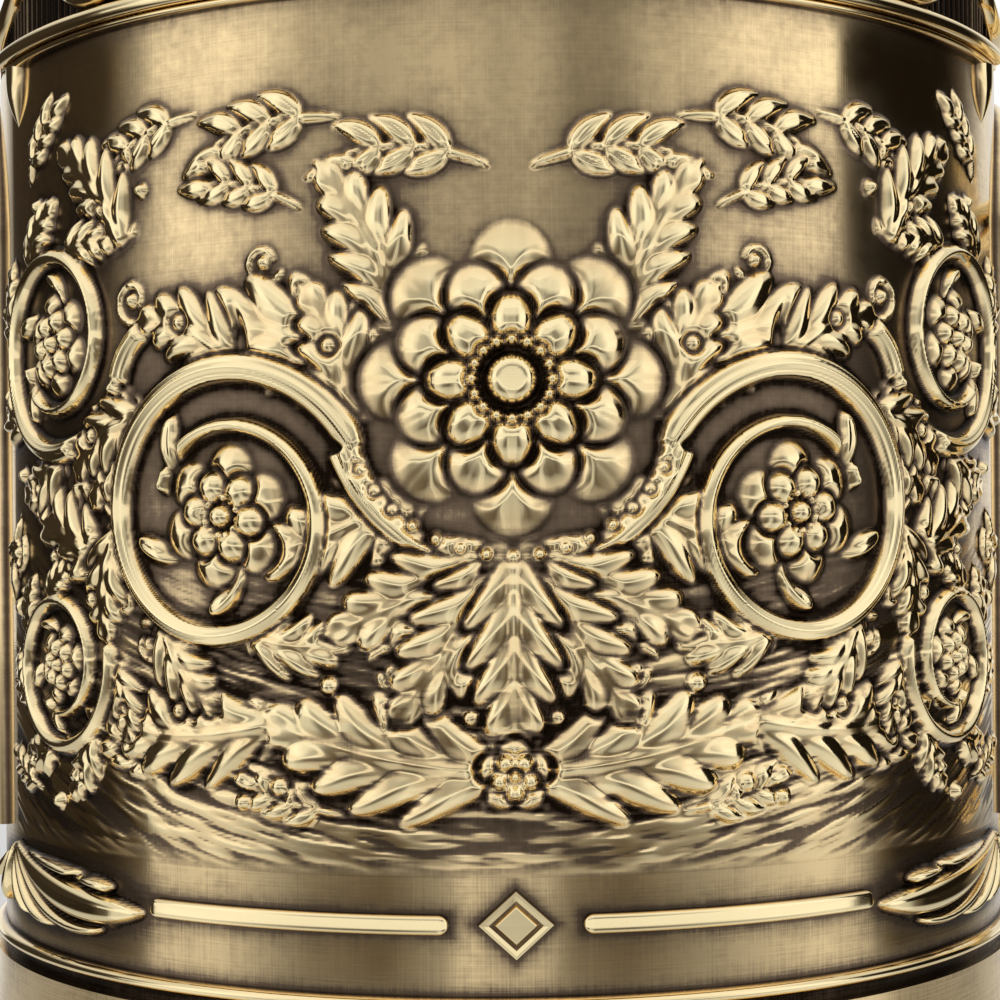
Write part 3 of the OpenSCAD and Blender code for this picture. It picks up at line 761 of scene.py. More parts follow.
    def scroll(self, u, v, r, start, hand, height, bloom):
        """A curling stem round a flower. Acanthus leaves and berries stand off its
        outer side, blades off its inner side, all at shares of its turn and at radii
        that fall evenly with the share."""
        turn = math.radians(500)
        for share in (0.03, 0.13, 0.23, 0.33, 0.43, 0.53):
            a = start + hand * turn * share
            rho = r * (1 - 0.52 * share)
            at_u, at_v = u + rho * math.cos(a), v + rho * math.sin(a)
            size = r * (0.92 - 0.4 * share)
            self.acanthus(at_u, at_v, a + hand * math.radians(48), size, size * 0.62,
                          height * 0.85, hand * 0.9, 4)
            far = r * 1.24
            berry = a + hand * 0.34
            self.bead(u + far * math.cos(berry), v + far * math.sin(berry), r * 0.06,
                      height * 0.6)
        self.ring_stem(u, v, r * 0.97, start, hand * turn, r * 0.2, r * 0.08, height, 0.5)
        for share in (0.2, 0.34, 0.48):
            a = start + hand * turn * share
            rho = r * (0.82 - 0.45 * share)
            self.leaf(u + rho * math.cos(a), v + rho * math.sin(a),
                      a + hand * math.radians(128), r * 0.42, r * 0.15, height * 0.7,
                      hand * 0.9, 2)
        self.flower(u, v, r * bloom, 6, height * 0.95, start, 2)

    def streaks(self, top, height, seed):
        """Hair-like worn strokes on the ground below a height, in layers of a share and
        a reach along and across: noise drawn out along its rows, which rise with the
        square of the distance from the middle. The same strokes are scuffed bright and
        left dark, and painted shade darkens the ground in a band under the moulding."""
        rise, fade, end = 0.22, 0.22, 0.0012
        rng = np.random.default_rng(seed)
        rows, cols = self.h.shape
        lift = int(rise * rows)
        layers = ((1.0, 0.0006, 0.00005), (0.8, 0.0012, 0.00012), (0.4, 0.0025, 0.0006),
                  (0.45, 0.0045, 0.0021))
        noise = rng.standard_normal((len(layers), rows + lift, cols))
        mix = 0
        for grain, (share, reach_u, reach_v) in zip(noise, layers):
            drawn = blurred(grain, self.cell, reach_u, reach_v)
            mix = mix + share * drawn / drawn.std()
        fall = lift - 1 - (lift - 1) * np.linspace(-1, 1, cols) ** 2
        index = np.arange(rows)[:, None] + fall.astype(int)[None, :]
        part = np.mod(fall, 1)[None, :]
        near = np.take_along_axis(mix, index, axis=0)
        mix = near + part * (np.take_along_axis(mix, index + 1, axis=0) - near)
        low_down = np.clip((top - self.v) / (fade * np.ptp(self.v)), 0, 1)
        low_down *= np.clip((self.v - self.v[0]) / end, 0, 1)
        low_down = low_down[:, None]
        ground = height * low_down * np.clip(0.4 + 0.4 * mix, 0, 1.4)
        np.maximum(self.h, ground, out=self.h)
        self.scuff_and_shade = low_down * np.clip(0.22 * mix - 0.04, -0.22, 0.4)
        # Painted shade: the ground is darkened in a band right under the moulding.
        self.scuff_and_shade -= 0.2 * np.exp((self.v - self.v[-1]) / 0.0009)[:, None]

    def wear(self, level):
        """How rubbed each point is: a level for plain ground, its scuffs and the painted
        shade under the moulding, more where the field stands over its own blurred self
        and less where it lies under it, at a fine, a broad and a wide reach."""
        rub = level + self.scuff_and_shade
        for reach, full in ((0.00035, 0.0005), (0.0016, 0.0017), (0.006, 0.0034)):
            rub += (self.h - blurred(self.h, self.cell, reach)) / full
        return np.clip(rub, 0, 1)


def blurred(field, cell, reach_u, reach_v=None):
    """The field under a Gauss bell of those reaches, as a product of its spectrum with
    the bell's, after it is mirrored at its edges."""
    reach_v = reach_u if reach_v is None else reach_v
    doubled = np.concatenate([field, field[::-1]], axis=0)
    doubled = np.concatenate([doubled, doubled[:, ::-1]], axis=1)
    fv = np.fft.fftfreq(doubled.shape[0], cell)[:, None]
    fu = np.fft.rfftfreq(doubled.shape[1], cell)[None, :]
    bell = np.exp(-2 * np.pi**2 * ((fu * reach_u) ** 2 + (fv * reach_v) ** 2))
    smooth = np.fft.irfft2(np.fft.rfft2(doubled) * bell, doubled.shape)
    return smooth[: field.shape[0], : field.shape[1]]


def block(u, z, radius, rub):
    """A closed block whose outer face is a grid of radii, with a back in the wall made
    of one tall face per column and two flat many-sided ends."""
    rows, cols = radius.shape
    outer = on_wall(u[None, :], z[:, None], radius)
    back = on_wall(u[None, :], z[[0, -1], None], WALL_R - SUNK)
    points = np.concatenate([outer.reshape(-1, 3), back.reshape(-1, 3)])
    shade = np.concatenate([rub.ravel(), np.zeros(2 * cols)])
    c = np.arange(cols - 1)
    foot, head = rows * cols, rows * cols + cols
    last = (rows - 1) * cols
    strips = [
        np.stack([c, c + foot, c + foot + 1, c + 1], axis=-1),
        np.stack([c + foot, c + head, c + head + 1, c + foot + 1], axis=-1),
        np.stack([c + head, c + last, c + last + 1, c + head + 1], axis=-1),
    ]
    r = np.arange(rows) * cols
    left = np.concatenate([r[::-1], [foot, head]])
    right = np.concatenate([r + cols - 1, [head + cols - 1, foot + cols - 1]])
    quads = np.concatenate([grid_quads(rows, cols)] + strips)
    return facing_out(Shape(points, shade, quads, [left, right]))


def cell_size(width):
    return width * 1


def cut_out(field, mid_u, mid_z, level):
    """The cells of a field that stand over its ground, as a closed piece: the cells at
    their heights in front, the same cells in the wall behind, and a wall round their
    outline. Cells that touch at one corner only are joined by a third."""
    solid = field.h > THIN
    cells = solid[:-1, :-1] | solid[1:, :-1] | solid[:-1, 1:] | solid[1:, 1:]
    for _ in range(4):
        a, b, c, d = cells[:-1, :-1], cells[:-1, 1:], cells[1:, :-1], cells[1:, 1:]
        crossing = (a & d & ~b & ~c) | (b & c & ~a & ~d)
        b |= crossing
        a |= crossing
    front = grid_quads(*field.h.shape)[cells.ravel()]
    used, front = np.unique(front, return_inverse=True)
    front = front.reshape(-1, 4)
    count = len(used)
    start, end = front.ravel(), np.roll(front, -1, axis=1).ravel()
    rim = ~np.isin(start * count + end, end * count + start)
    i, j = start[rim], end[rim]
    walls = np.stack([j, i, i + count, j + count], axis=-1)
    rows, cols = np.divmod(used, field.h.shape[1])
    u, z = field.u[cols] + mid_u, field.v[rows] + mid_z
    outer = on_wall(u, z, WALL_R + THIN + field.h.ravel()[used])
    points = np.concatenate([outer, on_wall(u, z, WALL_R - SUNK)])
    rub = np.concatenate([field.wear(level).ravel()[used], np.zeros(count)])
    quads = np.concatenate([front, front[:, ::-1] + count, walls])
    return facing_out(Shape(points, rub, quads, [])), len(front)


class HolderRelief(bpy.types.PropertyGroup):
    """Sizes of the relief panels."""

    cell: bpy.props.FloatProperty(
        name="Cell",
        description="Width of one cell of the relief's grid",
        default=0.000125,
        unit="LENGTH",
    )
    height: bpy.props.FloatProperty(
        name="Height",
        description="Height of the relief over its ground",
        default=0.00105,
        unit="LENGTH",
    )
    ground: bpy.props.FloatProperty(
        name="Ground",
        description="Thickness of the sheet under the relief",
        default=0.00012,
        unit="LENGTH",
    )
    streak: bpy.props.FloatProperty(
        name="Streak",
        description="Height of the strokes on the lower ground",
        default=0.00004,
        unit="LENGTH",
    )


class HOLDER_OT_relief(bpy.types.Operator):
    """Carve the front and rear panels: a vine with flowers, scrolls and berries"""

    bl_idname = "holder.relief"
    bl_label = "Relief panels"

    def execute(self, context):
        sizes = context.scene.holder_relief
        for (face, angle), seed in zip(PANELS, (3, 8)):
            field = self.carve(sizes, seed)
            self.lay_panel(field, sizes, face, angle)
        return {"FINISHED"}

    def carve(self, sizes, seed):
        """The picture: a flower over a fan of leaves in the middle, a stem that leaves
        it on each side and curls in to a scroll, two more scrolls that branch off up
        and down, sprigs above and berries between. Places are shares of the picture's
        half width and of its height."""
        field = Carving(2 * PICTURE_HALF_W, PICTURE_H, cell_size(sizes.cell))
        field.streaks(-0.1 * PICTURE_H, sizes.streak, seed)
        w, h, top = PICTURE_HALF_W, PICTURE_H, sizes.height
        for side in (-1, 1):
            self.small_work(field, side, top)
            for at_u, at_v, turn, size, bend in (
                (0.02, -0.38, 2, 0.3, 0.35), (0.36, -0.33, -14, 0.26, 0.5),
                (0.17, 0.04, 44, 0.3, -0.9), (0.15, 0.12, 76, 0.22, -0.5),
                (0.6, 0.06, -40, 0.2, -0.6), (0.66, -0.14, 14, 0.22, 0.6),
                (0.62, 0.24, 66, 0.2, -0.8), (0.14, -0.06, -38, 0.24, 0.7),
            ):
                field.acanthus(side * at_u * w, at_v * h, facing(side, turn), size * h,
                               size * 0.5 * h, top * 0.88, side * bend)
            field.ring_stem(side * 0.522 * w, 0.057 * h, 0.088 * h, facing(side, 158),
                            -side * math.radians(146), 0.02 * h, 0.03 * h, top * 0.9)
            field.scroll(side * 0.8 * w, 0.13 * h, 0.15 * h, facing(side, 200), side,
                         top, 0.46)
            field.scroll(side * 0.79 * w, -0.27 * h, 0.115 * h, facing(side, 165), side,
                         top * 0.9, 0.46)
            field.scroll(side * 0.43 * w, -0.09 * h, 0.19 * h, facing(side, 160), -side,
                         top, 0.46)
            field.ring_stem(0, 0.045 * h, 0.2 * h, facing(side, -82),
                            side * math.radians(64), 0.02 * h, 0.042 * h, top)
        for turn in (-22, -158, -54, -126, -90):
            field.acanthus(0, -0.14 * h, math.radians(turn), 0.24 * h, 0.12 * h,
                           top * 0.88)
        field.flower(0, -0.385 * h, 0.045 * h, 5, top * 0.95, math.pi / 2, 2)
        field.pearls(0, 0.06 * h, 0.198 * h, math.radians(-150), math.radians(120), 15,
                     0.0075 * h, top * 0.75)
        field.flower(0, 0.06 * h, 0.18 * h, 8, top * 1.08, math.pi / 2)
        field.h = np.clip(blurred(field.h, field.cell, 0.0001), 0, RELIEF_TOP)
        return field

    def small_work(self, field, side, top):
        """Sprigs on the upper ground and by the corners, tendrils, and berries in
        threes and ones."""
        w, h = PICTURE_HALF_W, PICTURE_H
        for at_u, at_v, turn, size, bend in (
            (0.03, 0.3, 24, 0.19, -0.7), (0.24, 0.36, 8, 0.19, -0.6),
            (0.3, 0.26, 30, 0.15, -0.5), (0.47, 0.38, -4, 0.17, -0.5),
            (0.5, -0.38, 4, 0.17, 0.4), (0.9, 0.34, 120, 0.13, 0.5),
            (0.96, -0.08, -76, 0.15, 0.6), (0.24, -0.43, 6, 0.14, 0.3),
            (0.86, -0.43, 12, 0.11, 0.3),
        ):
            field.sprig(side * at_u * w, at_v * h, facing(side, turn), size * h,
                        top * 0.55, side * bend)
        for at_u, at_v, size, start in (
            (0.64, -0.06, 0.03, 200), (0.17, -0.27, 0.032, 30), (0.6, 0.17, 0.028, 250),
            (0.96, -0.13, 0.026, 120), (0.36, 0.2, 0.026, 200), (0.57, -0.24, 0.028, 60),
        ):
            field.tendril(side * at_u * w, at_v * h, size * h, facing(side, start), side,
                          top * 0.5)
        for at_u, at_v, size in (
            (0.1, -0.27, 1.2), (0.14, -0.31, 1.0), (0.06, -0.32, 0.8),
            (0.64, -0.12, 1.1), (0.68, -0.16, 0.9), (0.62, -0.19, 1.2),
            (0.56, -0.33, 0.9), (0.5, -0.36, 0.7), (0.22, -0.22, 0.9),
            (0.74, -0.42, 1.0), (0.8, -0.44, 0.8), (0.95, -0.2, 1.1),
            (0.93, -0.03, 0.8), (0.62, 0.33, 0.9), (0.58, 0.3, 0.7),
            (0.66, 0.36, 0.7), (0.4, -0.42, 0.8), (0.34, -0.4, 1.0),
        ):
            field.bead(side * at_u * w, at_v * h, 0.012 * size * h, top * 0.6)

    def lay_panel(self, field, sizes, face, angle):
        """Lays the field on the wall in pieces side by side, on a ground sheet that
        thins out towards its lower edge."""
        pieces, edge_h = 3, 0.0012
        rub = field.wear(GROUND_RUB)
        feather = np.clip((field.v - field.v[0]) / edge_h, 0.05, 1)[:, None]
        radius = WALL_R + sizes.ground * feather + field.h
        cuts = np.linspace(0, len(field.u) - 1, pieces + 1).astype(int)
        z = field.v + PICTURE_LOW + PICTURE_H / 2
        for number, (start, end) in enumerate(zip(cuts[:-1], cuts[1:]), 1):
            span = slice(start, end + 1)
            shape = block(field.u[span], z, radius[:, span], rub[:, span])
            make_piece(f"relief_{face}_{number}", turned(shape, angle), "relief_brass",
                       f"panel_relief_{face}", 90, carved=(len(z) - 1) * (end - start))


# Mouldings and drops


class HOLDER_OT_mouldings(bpy.types.Operator):
    """Bend the two-part mouldings over the panels and hang their drops"""

    bl_idname = "holder.mouldings"
    bl_label = "Mouldings and drops"

    def execute(self, context):
        on_panels("moulding", "top_moulding", self.moulding(), "polished_brass", 50)
        on_panels("drop_leaf", "drop", self.drop(), "polished_brass", 60, corners=True)
        return {"FINISHED"}

    def moulding(self):
        """A thin rounded lip under a fuller half round, with a dark line between. Both
        stand out with the cosine of their turn, the fuller one with its root."""
        tall = SLEEVE_TOP - MOULDING_LOW
        out, lip = 0.0013, 0.3
        b = np.linspace(-np.pi / 2, np.pi / 2, 14)
        lip_r = WALL_R + out * 0.6 * (0.55 + 0.45 * np.cos(b))
        lip_z = MOULDING_LOW + tall * lip * (1 + np.sin(b)) / 2
        main_r = WALL_R + out * (0.42 + 0.58 * np.sqrt(np.cos(b).clip(0)))
        main_z = MOULDING_LOW + tall * (lip + (1 - lip) * (1 + np.sin(b)) / 2)
        back = WALL_R - SEAT
        radii = np.concatenate([[back], lip_r, main_r, [back]])
        heights = np.concatenate([[MOULDING_LOW], lip_z, main_z, [SLEEVE_TOP]])
        bright = np.cos(b).clip(0) ** 0.6
        rub = np.concatenate([[0.1], 0.25 + 0.65 * bright, 0.3 + 0.65 * bright, [0.1]])
        return lathe(radii, heights, rub, 220, PANEL_HALF)

    def drop(self):
        """A half-round drop whose width and height fall to its point with cosines."""
        length, width, thick, inset, overlap = 0.0039, 0.0027, 0.0009, 0.0002, 0.0001
        t = np.linspace(0, 1, 40)
        u = np.full_like(t, PICTURE_HALF_W - width / 2 - inset)
        z = MOULDING_LOW + overlap - length * t
        half = width / 2 * np.clip(np.cos(np.pi / 2 * t**1.1), 0.03, 1)
        tall = thick * (0.08 + 0.92 * np.cos(np.pi / 2 * t**1.5))
        return wall_band(u, z, half, tall)


# Border


class HOLDER_OT_border(bpy.types.Operator):
    """Lay the bars, the diamonds and the corner leaves under the pictures"""

    bl_idname = "holder.border"
    bl_label = "Border"

    def execute(self, context):
        on_panels("bar_strip", "bar", self.bar(), "polished_brass", 60, corners=True)
        on_panels("diamond_boss", "diamond", self.diamond(), "polished_brass", 25)
        leaf, carved = self.corner_leaf()
        on_panels("acanthus", "corner_leaf", leaf, "relief_brass", 90, corners=True,
                  carved=carved)
        return {"FINISHED"}

    def bar(self):
        """A flat-topped bar. Its half width closes over its last stretch with the root
        of 1 less the square of the share of that stretch, as a half circle does."""
        start, end, thick = 0.0038, 0.023, 0.00059
        node = "bar_front_right"
        half = 1.1 * tallness(node) / 2
        t = np.sin(np.linspace(-np.pi / 2, np.pi / 2, 90))
        u = (start + end) / 2 + (end - start) / 2 * t
        from_end = np.minimum(u - start, end - u)
        inset = np.clip(1 - from_end / half, 0, 1)
        width = half * np.clip(np.sqrt(1 - inset**2), 0.03, 1)
        tall = thick * np.clip(width / half, 0.2, 1) ** 0.5
        return wall_band(u, np.full_like(u, middle(node)), width, tall, tilted)

    def diamond(self):
        """Rings of a lozenge, each a share of its outline, at heights that make a
        bevelled frame, a groove and a raised field. Higher up it leans back."""
        tall, tilt, down = 0.001, 0.05, 0.00008
        node = "diamond_front"
        mid = middle(node)
        t = np.linspace(0, 1, 12, endpoint=False)
        corner = np.array([(1, 0), (0, 1), (-1, 0), (0, -1)], float)
        sides = [corner[k] + (corner[k - 3] - corner[k]) * t[:, None] for k in range(4)]
        line = np.concatenate(sides)
        share = np.array([1, 1, 0.95, 0.84, 0.7, 0.66, 0.62, 0.57, 0.52, 0.48, 0.02])
        rise = np.array([-0.1, 0.3, 0.52, 0.58, 0.55, 0.38, 0.36, 0.4, 0.52, 0.55, 0.55])
        rub = np.array([0.0, 0.2, 0.9, 1.0, 0.9, 0.35, 0.25, 0.4, 0.9, 1.0, 1.0])
        u = share[:, None] * line[:, 0] * high(node).x
        z = mid + share[:, None] * line[:, 1] * tallness(node) / 2
        lean = tilt * (z - mid) * (rise[:, None] > 0)
        rings = on_wall(u, z, WALL_R + tall * rise[:, None] - lean - down)
        return rings_shape(rings, rub[:, None])

    def corner_leaf(self):
        """Blades that sweep from their tips near the bar up to one root at the outer
        end, with two short ones beyond it. Places are shares of the leaf's width and
        height from its middle."""
        out, tall, top, least, soft = 0.0011, 0.00104, 0.00107, 0.00003, 0.00006
        node = "corner_leaf_front_right"
        start = math.asin(low(node).x / (WALL_R + out)) * WALL_R
        end = math.atan2(high(node).x, -high(node).y) * WALL_R
        w, h = end - start, tallness(node)
        field = Carving(w, h, cell_size(0.0001))
        for at_u, at_v, turn, length, width, bend in (
            (0.45, -0.1, 159, 0.22, 0.24, -0.4), (0.33, -0.36, 112, 0.19, 0.22, -0.2),
            (0.1, -0.38, 31, 0.25, 0.26, 0.5), (-0.07, -0.4, 11, 0.39, 0.34, 0.6),
            (-0.24, 0.27, -7, 0.52, 0.32, 0.4), (-0.31, -0.32, 2, 0.6, 0.46, 0.5),
            (-0.35, 0.2, -8, 0.26, 0.3, 0.2), (-0.37, -0.24, 10, 0.26, 0.28, 0.2),
            (-0.47, -0.06, -5, 0.74, 0.46, 0.5),
        ):
            field.leaf(at_u * w, at_v * h, math.radians(turn), length * w, width * h,
                       tall, bend, 0, 0.0)
        field.h = np.clip(blurred(field.h, field.cell, soft), 0, top)
        field.h[field.h < least] = 0
        return cut_out(field, (start + end) / 2, middle(node), 0.5)


# Crests

CREST_HALF = math.radians(82.04)
# How far round the crest's humps lie, in degrees
HUMP = 44


def crest_rise(angle):
    """The crest's height over the sleeve at an angle in radians: low ends, a bell over
    each side scroll that falls off more slowly inwards, and a bell in the middle."""
    a = np.abs(np.degrees(angle))
    spread = np.where(a > HUMP, 13.0, 23.0)
    hump = 0.0115 * np.exp(-(((a - HUMP) / spread) ** 2))
    return 0.0026 + hump + 0.015 * np.exp(-((a / 16) ** 2))


class HOLDER_OT_crests(bpy.types.Operator):
    """Raise the fluted crests with their rims, scrolls and shells"""

    bl_idname = "holder.crests"
    bl_label = "Crests"

    def execute(self, context):
        on_panels("crest_fluted", "crest", self.plate(), "blackened_brass", 60)
        on_panels("crest_bead", "crest_rim", self.rim(), "polished_brass", 60)
        on_panels("volute", "crest_scroll", self.volute(), "polished_brass", 60,
                  corners=True)
        on_panels("shell", "crest_shell", self.shell(), "polished_brass", 70)
        return {"FINISHED"}

    def plate(self):
        """A bent plate whose outer face has round flutes side by side: the radius
        drops between the ridges by the flute's depth."""
        pitch, depth, thick, rim, steps = 0.0008, 0.00026, 0.0012, 0.0008, 10
        count = int(CREST_HALF * WALL_R / pitch) * 2 * steps
        angle = np.linspace(-CREST_HALF, CREST_HALF, count)
        ridge = np.abs(np.cos(np.pi * angle * WALL_R / pitch))
        cup = 1 - np.sqrt(1 - (1 - ridge) ** 2)
        t = np.linspace(0, 1, 12)[None, :]
        rise = (crest_rise(angle) - rim)[:, None]
        outer_r = (WALL_R - depth * (1 - cup))[:, None] + 0 * t
        z = SLEEVE_TOP + rise * t
        inner_r = np.full_like(outer_r, WALL_R - thick)
        radius = np.concatenate([outer_r, inner_r], axis=1)
        height = np.concatenate([z, z[:, ::-1]], axis=1)
        outer_rub = 0.15 + 0.8 * cup[:, None] + 0 * t
        rub = np.concatenate([outer_rub, np.full_like(outer_rub, 0.7)], axis=1)
        return rings_shape(on_wall(angle[:, None] * WALL_R, height, radius), rub)

    def rim(self):
        """A rounded bead carried along the crest's outline, its section an ellipse
        that is deeper than it is tall."""
        below, half_h, half_d = 0.0006, 0.00055, 0.001
        angle = np.linspace(-CREST_HALF, CREST_HALF, 260)
        u, z = angle * WALL_R, SLEEVE_TOP + crest_rise(angle) - below
        side_u, side_z = sideways(u, z)
        b = np.linspace(0, 2 * np.pi, 20, endpoint=False)[None, :]
        along_u = u[:, None] + side_u * half_h * np.sin(b)
        along_z = z[:, None] + side_z * half_h * np.sin(b)
        rings = on_wall(along_u, along_z, WALL_R - SEAT + half_d * np.cos(b))
        return rings_shape(rings, 0.55 + 0.4 * np.cos(b))

    def volute(self):
        """A channelled band whose reach from an eye falls evenly with its turn. Its
        width falls too, from a rounded start, and its height grows."""
        r, tall, band = 0.0055, 0.0015, 0.17
        centre_u, centre_z = math.radians(HUMP) * WALL_R, SLEEVE_TOP + 0.92 * r
        t = np.linspace(0, 1, 170)
        turn = math.radians(560) * t
        half = band * r * (1 - t / 2) * np.clip(t / 0.14, 0.02, 1) ** 0.6
        reach = r * (1 - 0.58 * t) - band * r
        u = centre_u - 1.12 * reach * np.cos(turn)
        z = centre_z - reach * np.sin(turn)
        strip = wall_band(u, z, half, tall * (0.75 + 0.25 * t), channelled)
        eye = boss(centre_u, centre_z, 0.3 * r, tall, (0.95, 0.6, 4), steps=32, skirt=[-SUNK])
        return joined([strip, eye])

    def shell(self):
        """Lobes that fan out from the foot of the crest's middle over a half boss of
        three beads. A lobe's half width is a power of a sine that peaks near its tip."""
        longest, lobe_h, bead_h = 0.0138, 0.0014, 0.0015
        lobe_z, bead_z = SLEEVE_TOP + 0.0006, SLEEVE_TOP + 0.0016
        t = np.linspace(0, 1, 40)
        half_share = np.clip(np.sin(np.pi * t**2.1), 0.04, 1) ** 0.6
        shapes = []
        for turn, share in ((90, 1), (62, 0.88), (118, 0.88), (34, 0.68), (146, 0.68),
                            (10, 0.5), (170, 0.5)):
            length, a = longest * share, math.radians(turn)
            u, z = length * t * math.cos(a), lobe_z + length * t * math.sin(a)
            shapes.append(wall_band(u, z, length * 0.165 * half_share,
                                    lobe_h * (0.5 + 0.5 * t), channelled))
        for u, r in ((0.0, 0.0015), (-0.0023, 0.0009), (0.0023, 0.0009)):
            shapes.append(boss(u, bead_z, r, bead_h, (1, 0.8, 5)))
        return joined(shapes)


# Sides


class HOLDER_OT_sides(bpy.types.Operator):
    """Bend the arches of the two side zones and set the ornament"""

    bl_idname = "holder.sides"
    bl_label = "Side zones"

    def execute(self, context):
        arch, quarter = self.arch(), math.pi / 2
        for name, shape, slot, node, angle, sharp in (
            ("arch_left", arch, "polished_brass", "side_arch_left", -quarter, 60),
            ("arch_right", arch, "polished_brass", "side_arch_right", quarter, 60),
            ("cartouche", self.cartouche(), "relief_brass", "side_cartouche", -quarter, 70),
        ):
            make_piece(name, turned(shape, angle), slot, node, sharp)
        return {"FINISHED"}

    def arch(self):
        """A half-round band up one side, over a half circle and down the other."""
        node = "side_arch_right"
        band, tall, steps = 0.0013, 0.0009, 60
        half = math.asin(high(node).y / (WALL_R + tall)) * WALL_R
        mid, foot, spring = half - band / 2, low(node).z, high(node).z - half
        b = np.linspace(0, np.pi, steps)
        leg = np.linspace(0, 1, steps, endpoint=False)
        u = np.concatenate([np.full(steps, -mid), -mid * np.cos(b), np.full(steps, mid)])
        z = np.concatenate([
            foot + (spring - foot) * leg, spring + mid * np.sin(b),
            spring - (spring - foot) * (leg + leg[1]),
        ])
        return wall_band(u, z, band / 2, tall)

    def cartouche(self):
        """A cross of leaves with smaller ones between, round a flower of eight petals
        with a domed heart. A petal's height falls with the fourth power of its edge and
        dips between the petals with the size of a cosine."""
        leaf_h, flower_r, flower_h = 0.001, 0.0038, 0.0012
        mid, longest = middle("side_cartouche"), 0.98 * tallness("side_cartouche") / 2
        shapes = []
        for turns, share, width in (((0, 180), 0.68, 0.0036), ((90, 270), 1, 0.0046),
                                    ((45, 135, 225, 315), 0.58, 0.003)):
            for turn in turns:
                shapes.append(leaf_on_wall(0, mid, math.radians(turn), longest * share,
                                           width, leaf_h))
        b = np.linspace(0, 2 * np.pi, 144, endpoint=False)[None, :]
        e = np.sin(np.linspace(0.05, np.pi / 2, 30))[:, None]
        petal = np.abs(np.cos(4 * b)) ** 0.5
        heart = np.sqrt(np.clip(1 - (e / 0.36) ** 2, 0, 1))
        cup = (0.3 + 0.5 * petal) * (1 - e**4) * np.clip(1.8 * e - 0.5, 0, 1)
        rise = np.maximum(heart, cup)
        out = flower_r * e * (0.8 + 0.2 * petal)
        points = on_wall(out * np.cos(b), mid + out * np.sin(b), WALL_R + flower_h * rise)
        shapes.append(rings_shape(points, np.clip(1.5 * rise, 0.05, 1)))
        return joined(shapes)


# Handle


def carried(path, section_out, section_side, rub):
    """A section carried along a path in the plane y = 0: section_out is measured along
    the path's normal in that plane, section_side along Y. Both are arrays of path
    points by section points."""
    step = np.gradient(path, axis=0)
    step /= np.linalg.norm(step, axis=1)[:, None]
    normal = np.stack([-step[:, 2], np.zeros(len(path)), step[:, 0]], axis=1)
    points = path[:, None, :] + normal[:, None, :] * section_out[:, :, None]
    points[:, :, 1] += section_side
    return rings_shape(points, rub)


def oval_section(points):
    """The outward and the sideways share of a flattened oval: powers 0.6 and 0.75 of
    the cosine and the sine."""
    a = np.linspace(0, 2 * np.pi, points, endpoint=False)
    out = np.sign(np.cos(a)) * np.abs(np.cos(a)) ** 0.6
    side = np.sign(np.sin(a)) * np.abs(np.sin(a)) ** 0.75
    return out[None, :], side[None, :]


# Half of a rolled end's profile, from the eye on its end face to its middle, as shares of
# its half length and its radius, and how rubbed it is there
ROLL = np.array([
    (1.0, 0.03, 1.0), (1.0, 0.2, 1.0), (0.96, 0.34, 0.7), (0.88, 0.42, 0.1),
    (0.88, 0.6, 0.1), (0.97, 0.7, 0.7), (1.0, 0.85, 1.0), (0.95, 0.97, 1.0),
    (0.85, 1.0, 0.9), (0.6, 0.93, 0.7), (0.4, 0.9, 0.6), (0.28, 0.92, 0.6),
    (0.2, 0.85, 0.1), (0.12, 0.96, 0.9), (0.0, 1.0, 1.0),
])


def roll(x, z, r, half):
    """A rolled end: its profile turned round an axis along Y through x and z."""
    other = ROLL[-2::-1] * (-1, 1, 1)
    profile = np.concatenate([ROLL, other])
    y, radius, rub = profile[:, 0] * half, profile[:, 1] * r, profile[:, 2]
    a = np.linspace(0, 2 * np.pi, 48, endpoint=False)
    out_x, out_z = radius[:, None] * np.cos(a), radius[:, None] * np.sin(a)
    points = np.stack([x + out_x, y[:, None] + 0 * out_x, z + out_z], axis=-1)
    return rings_shape(points, rub[:, None])


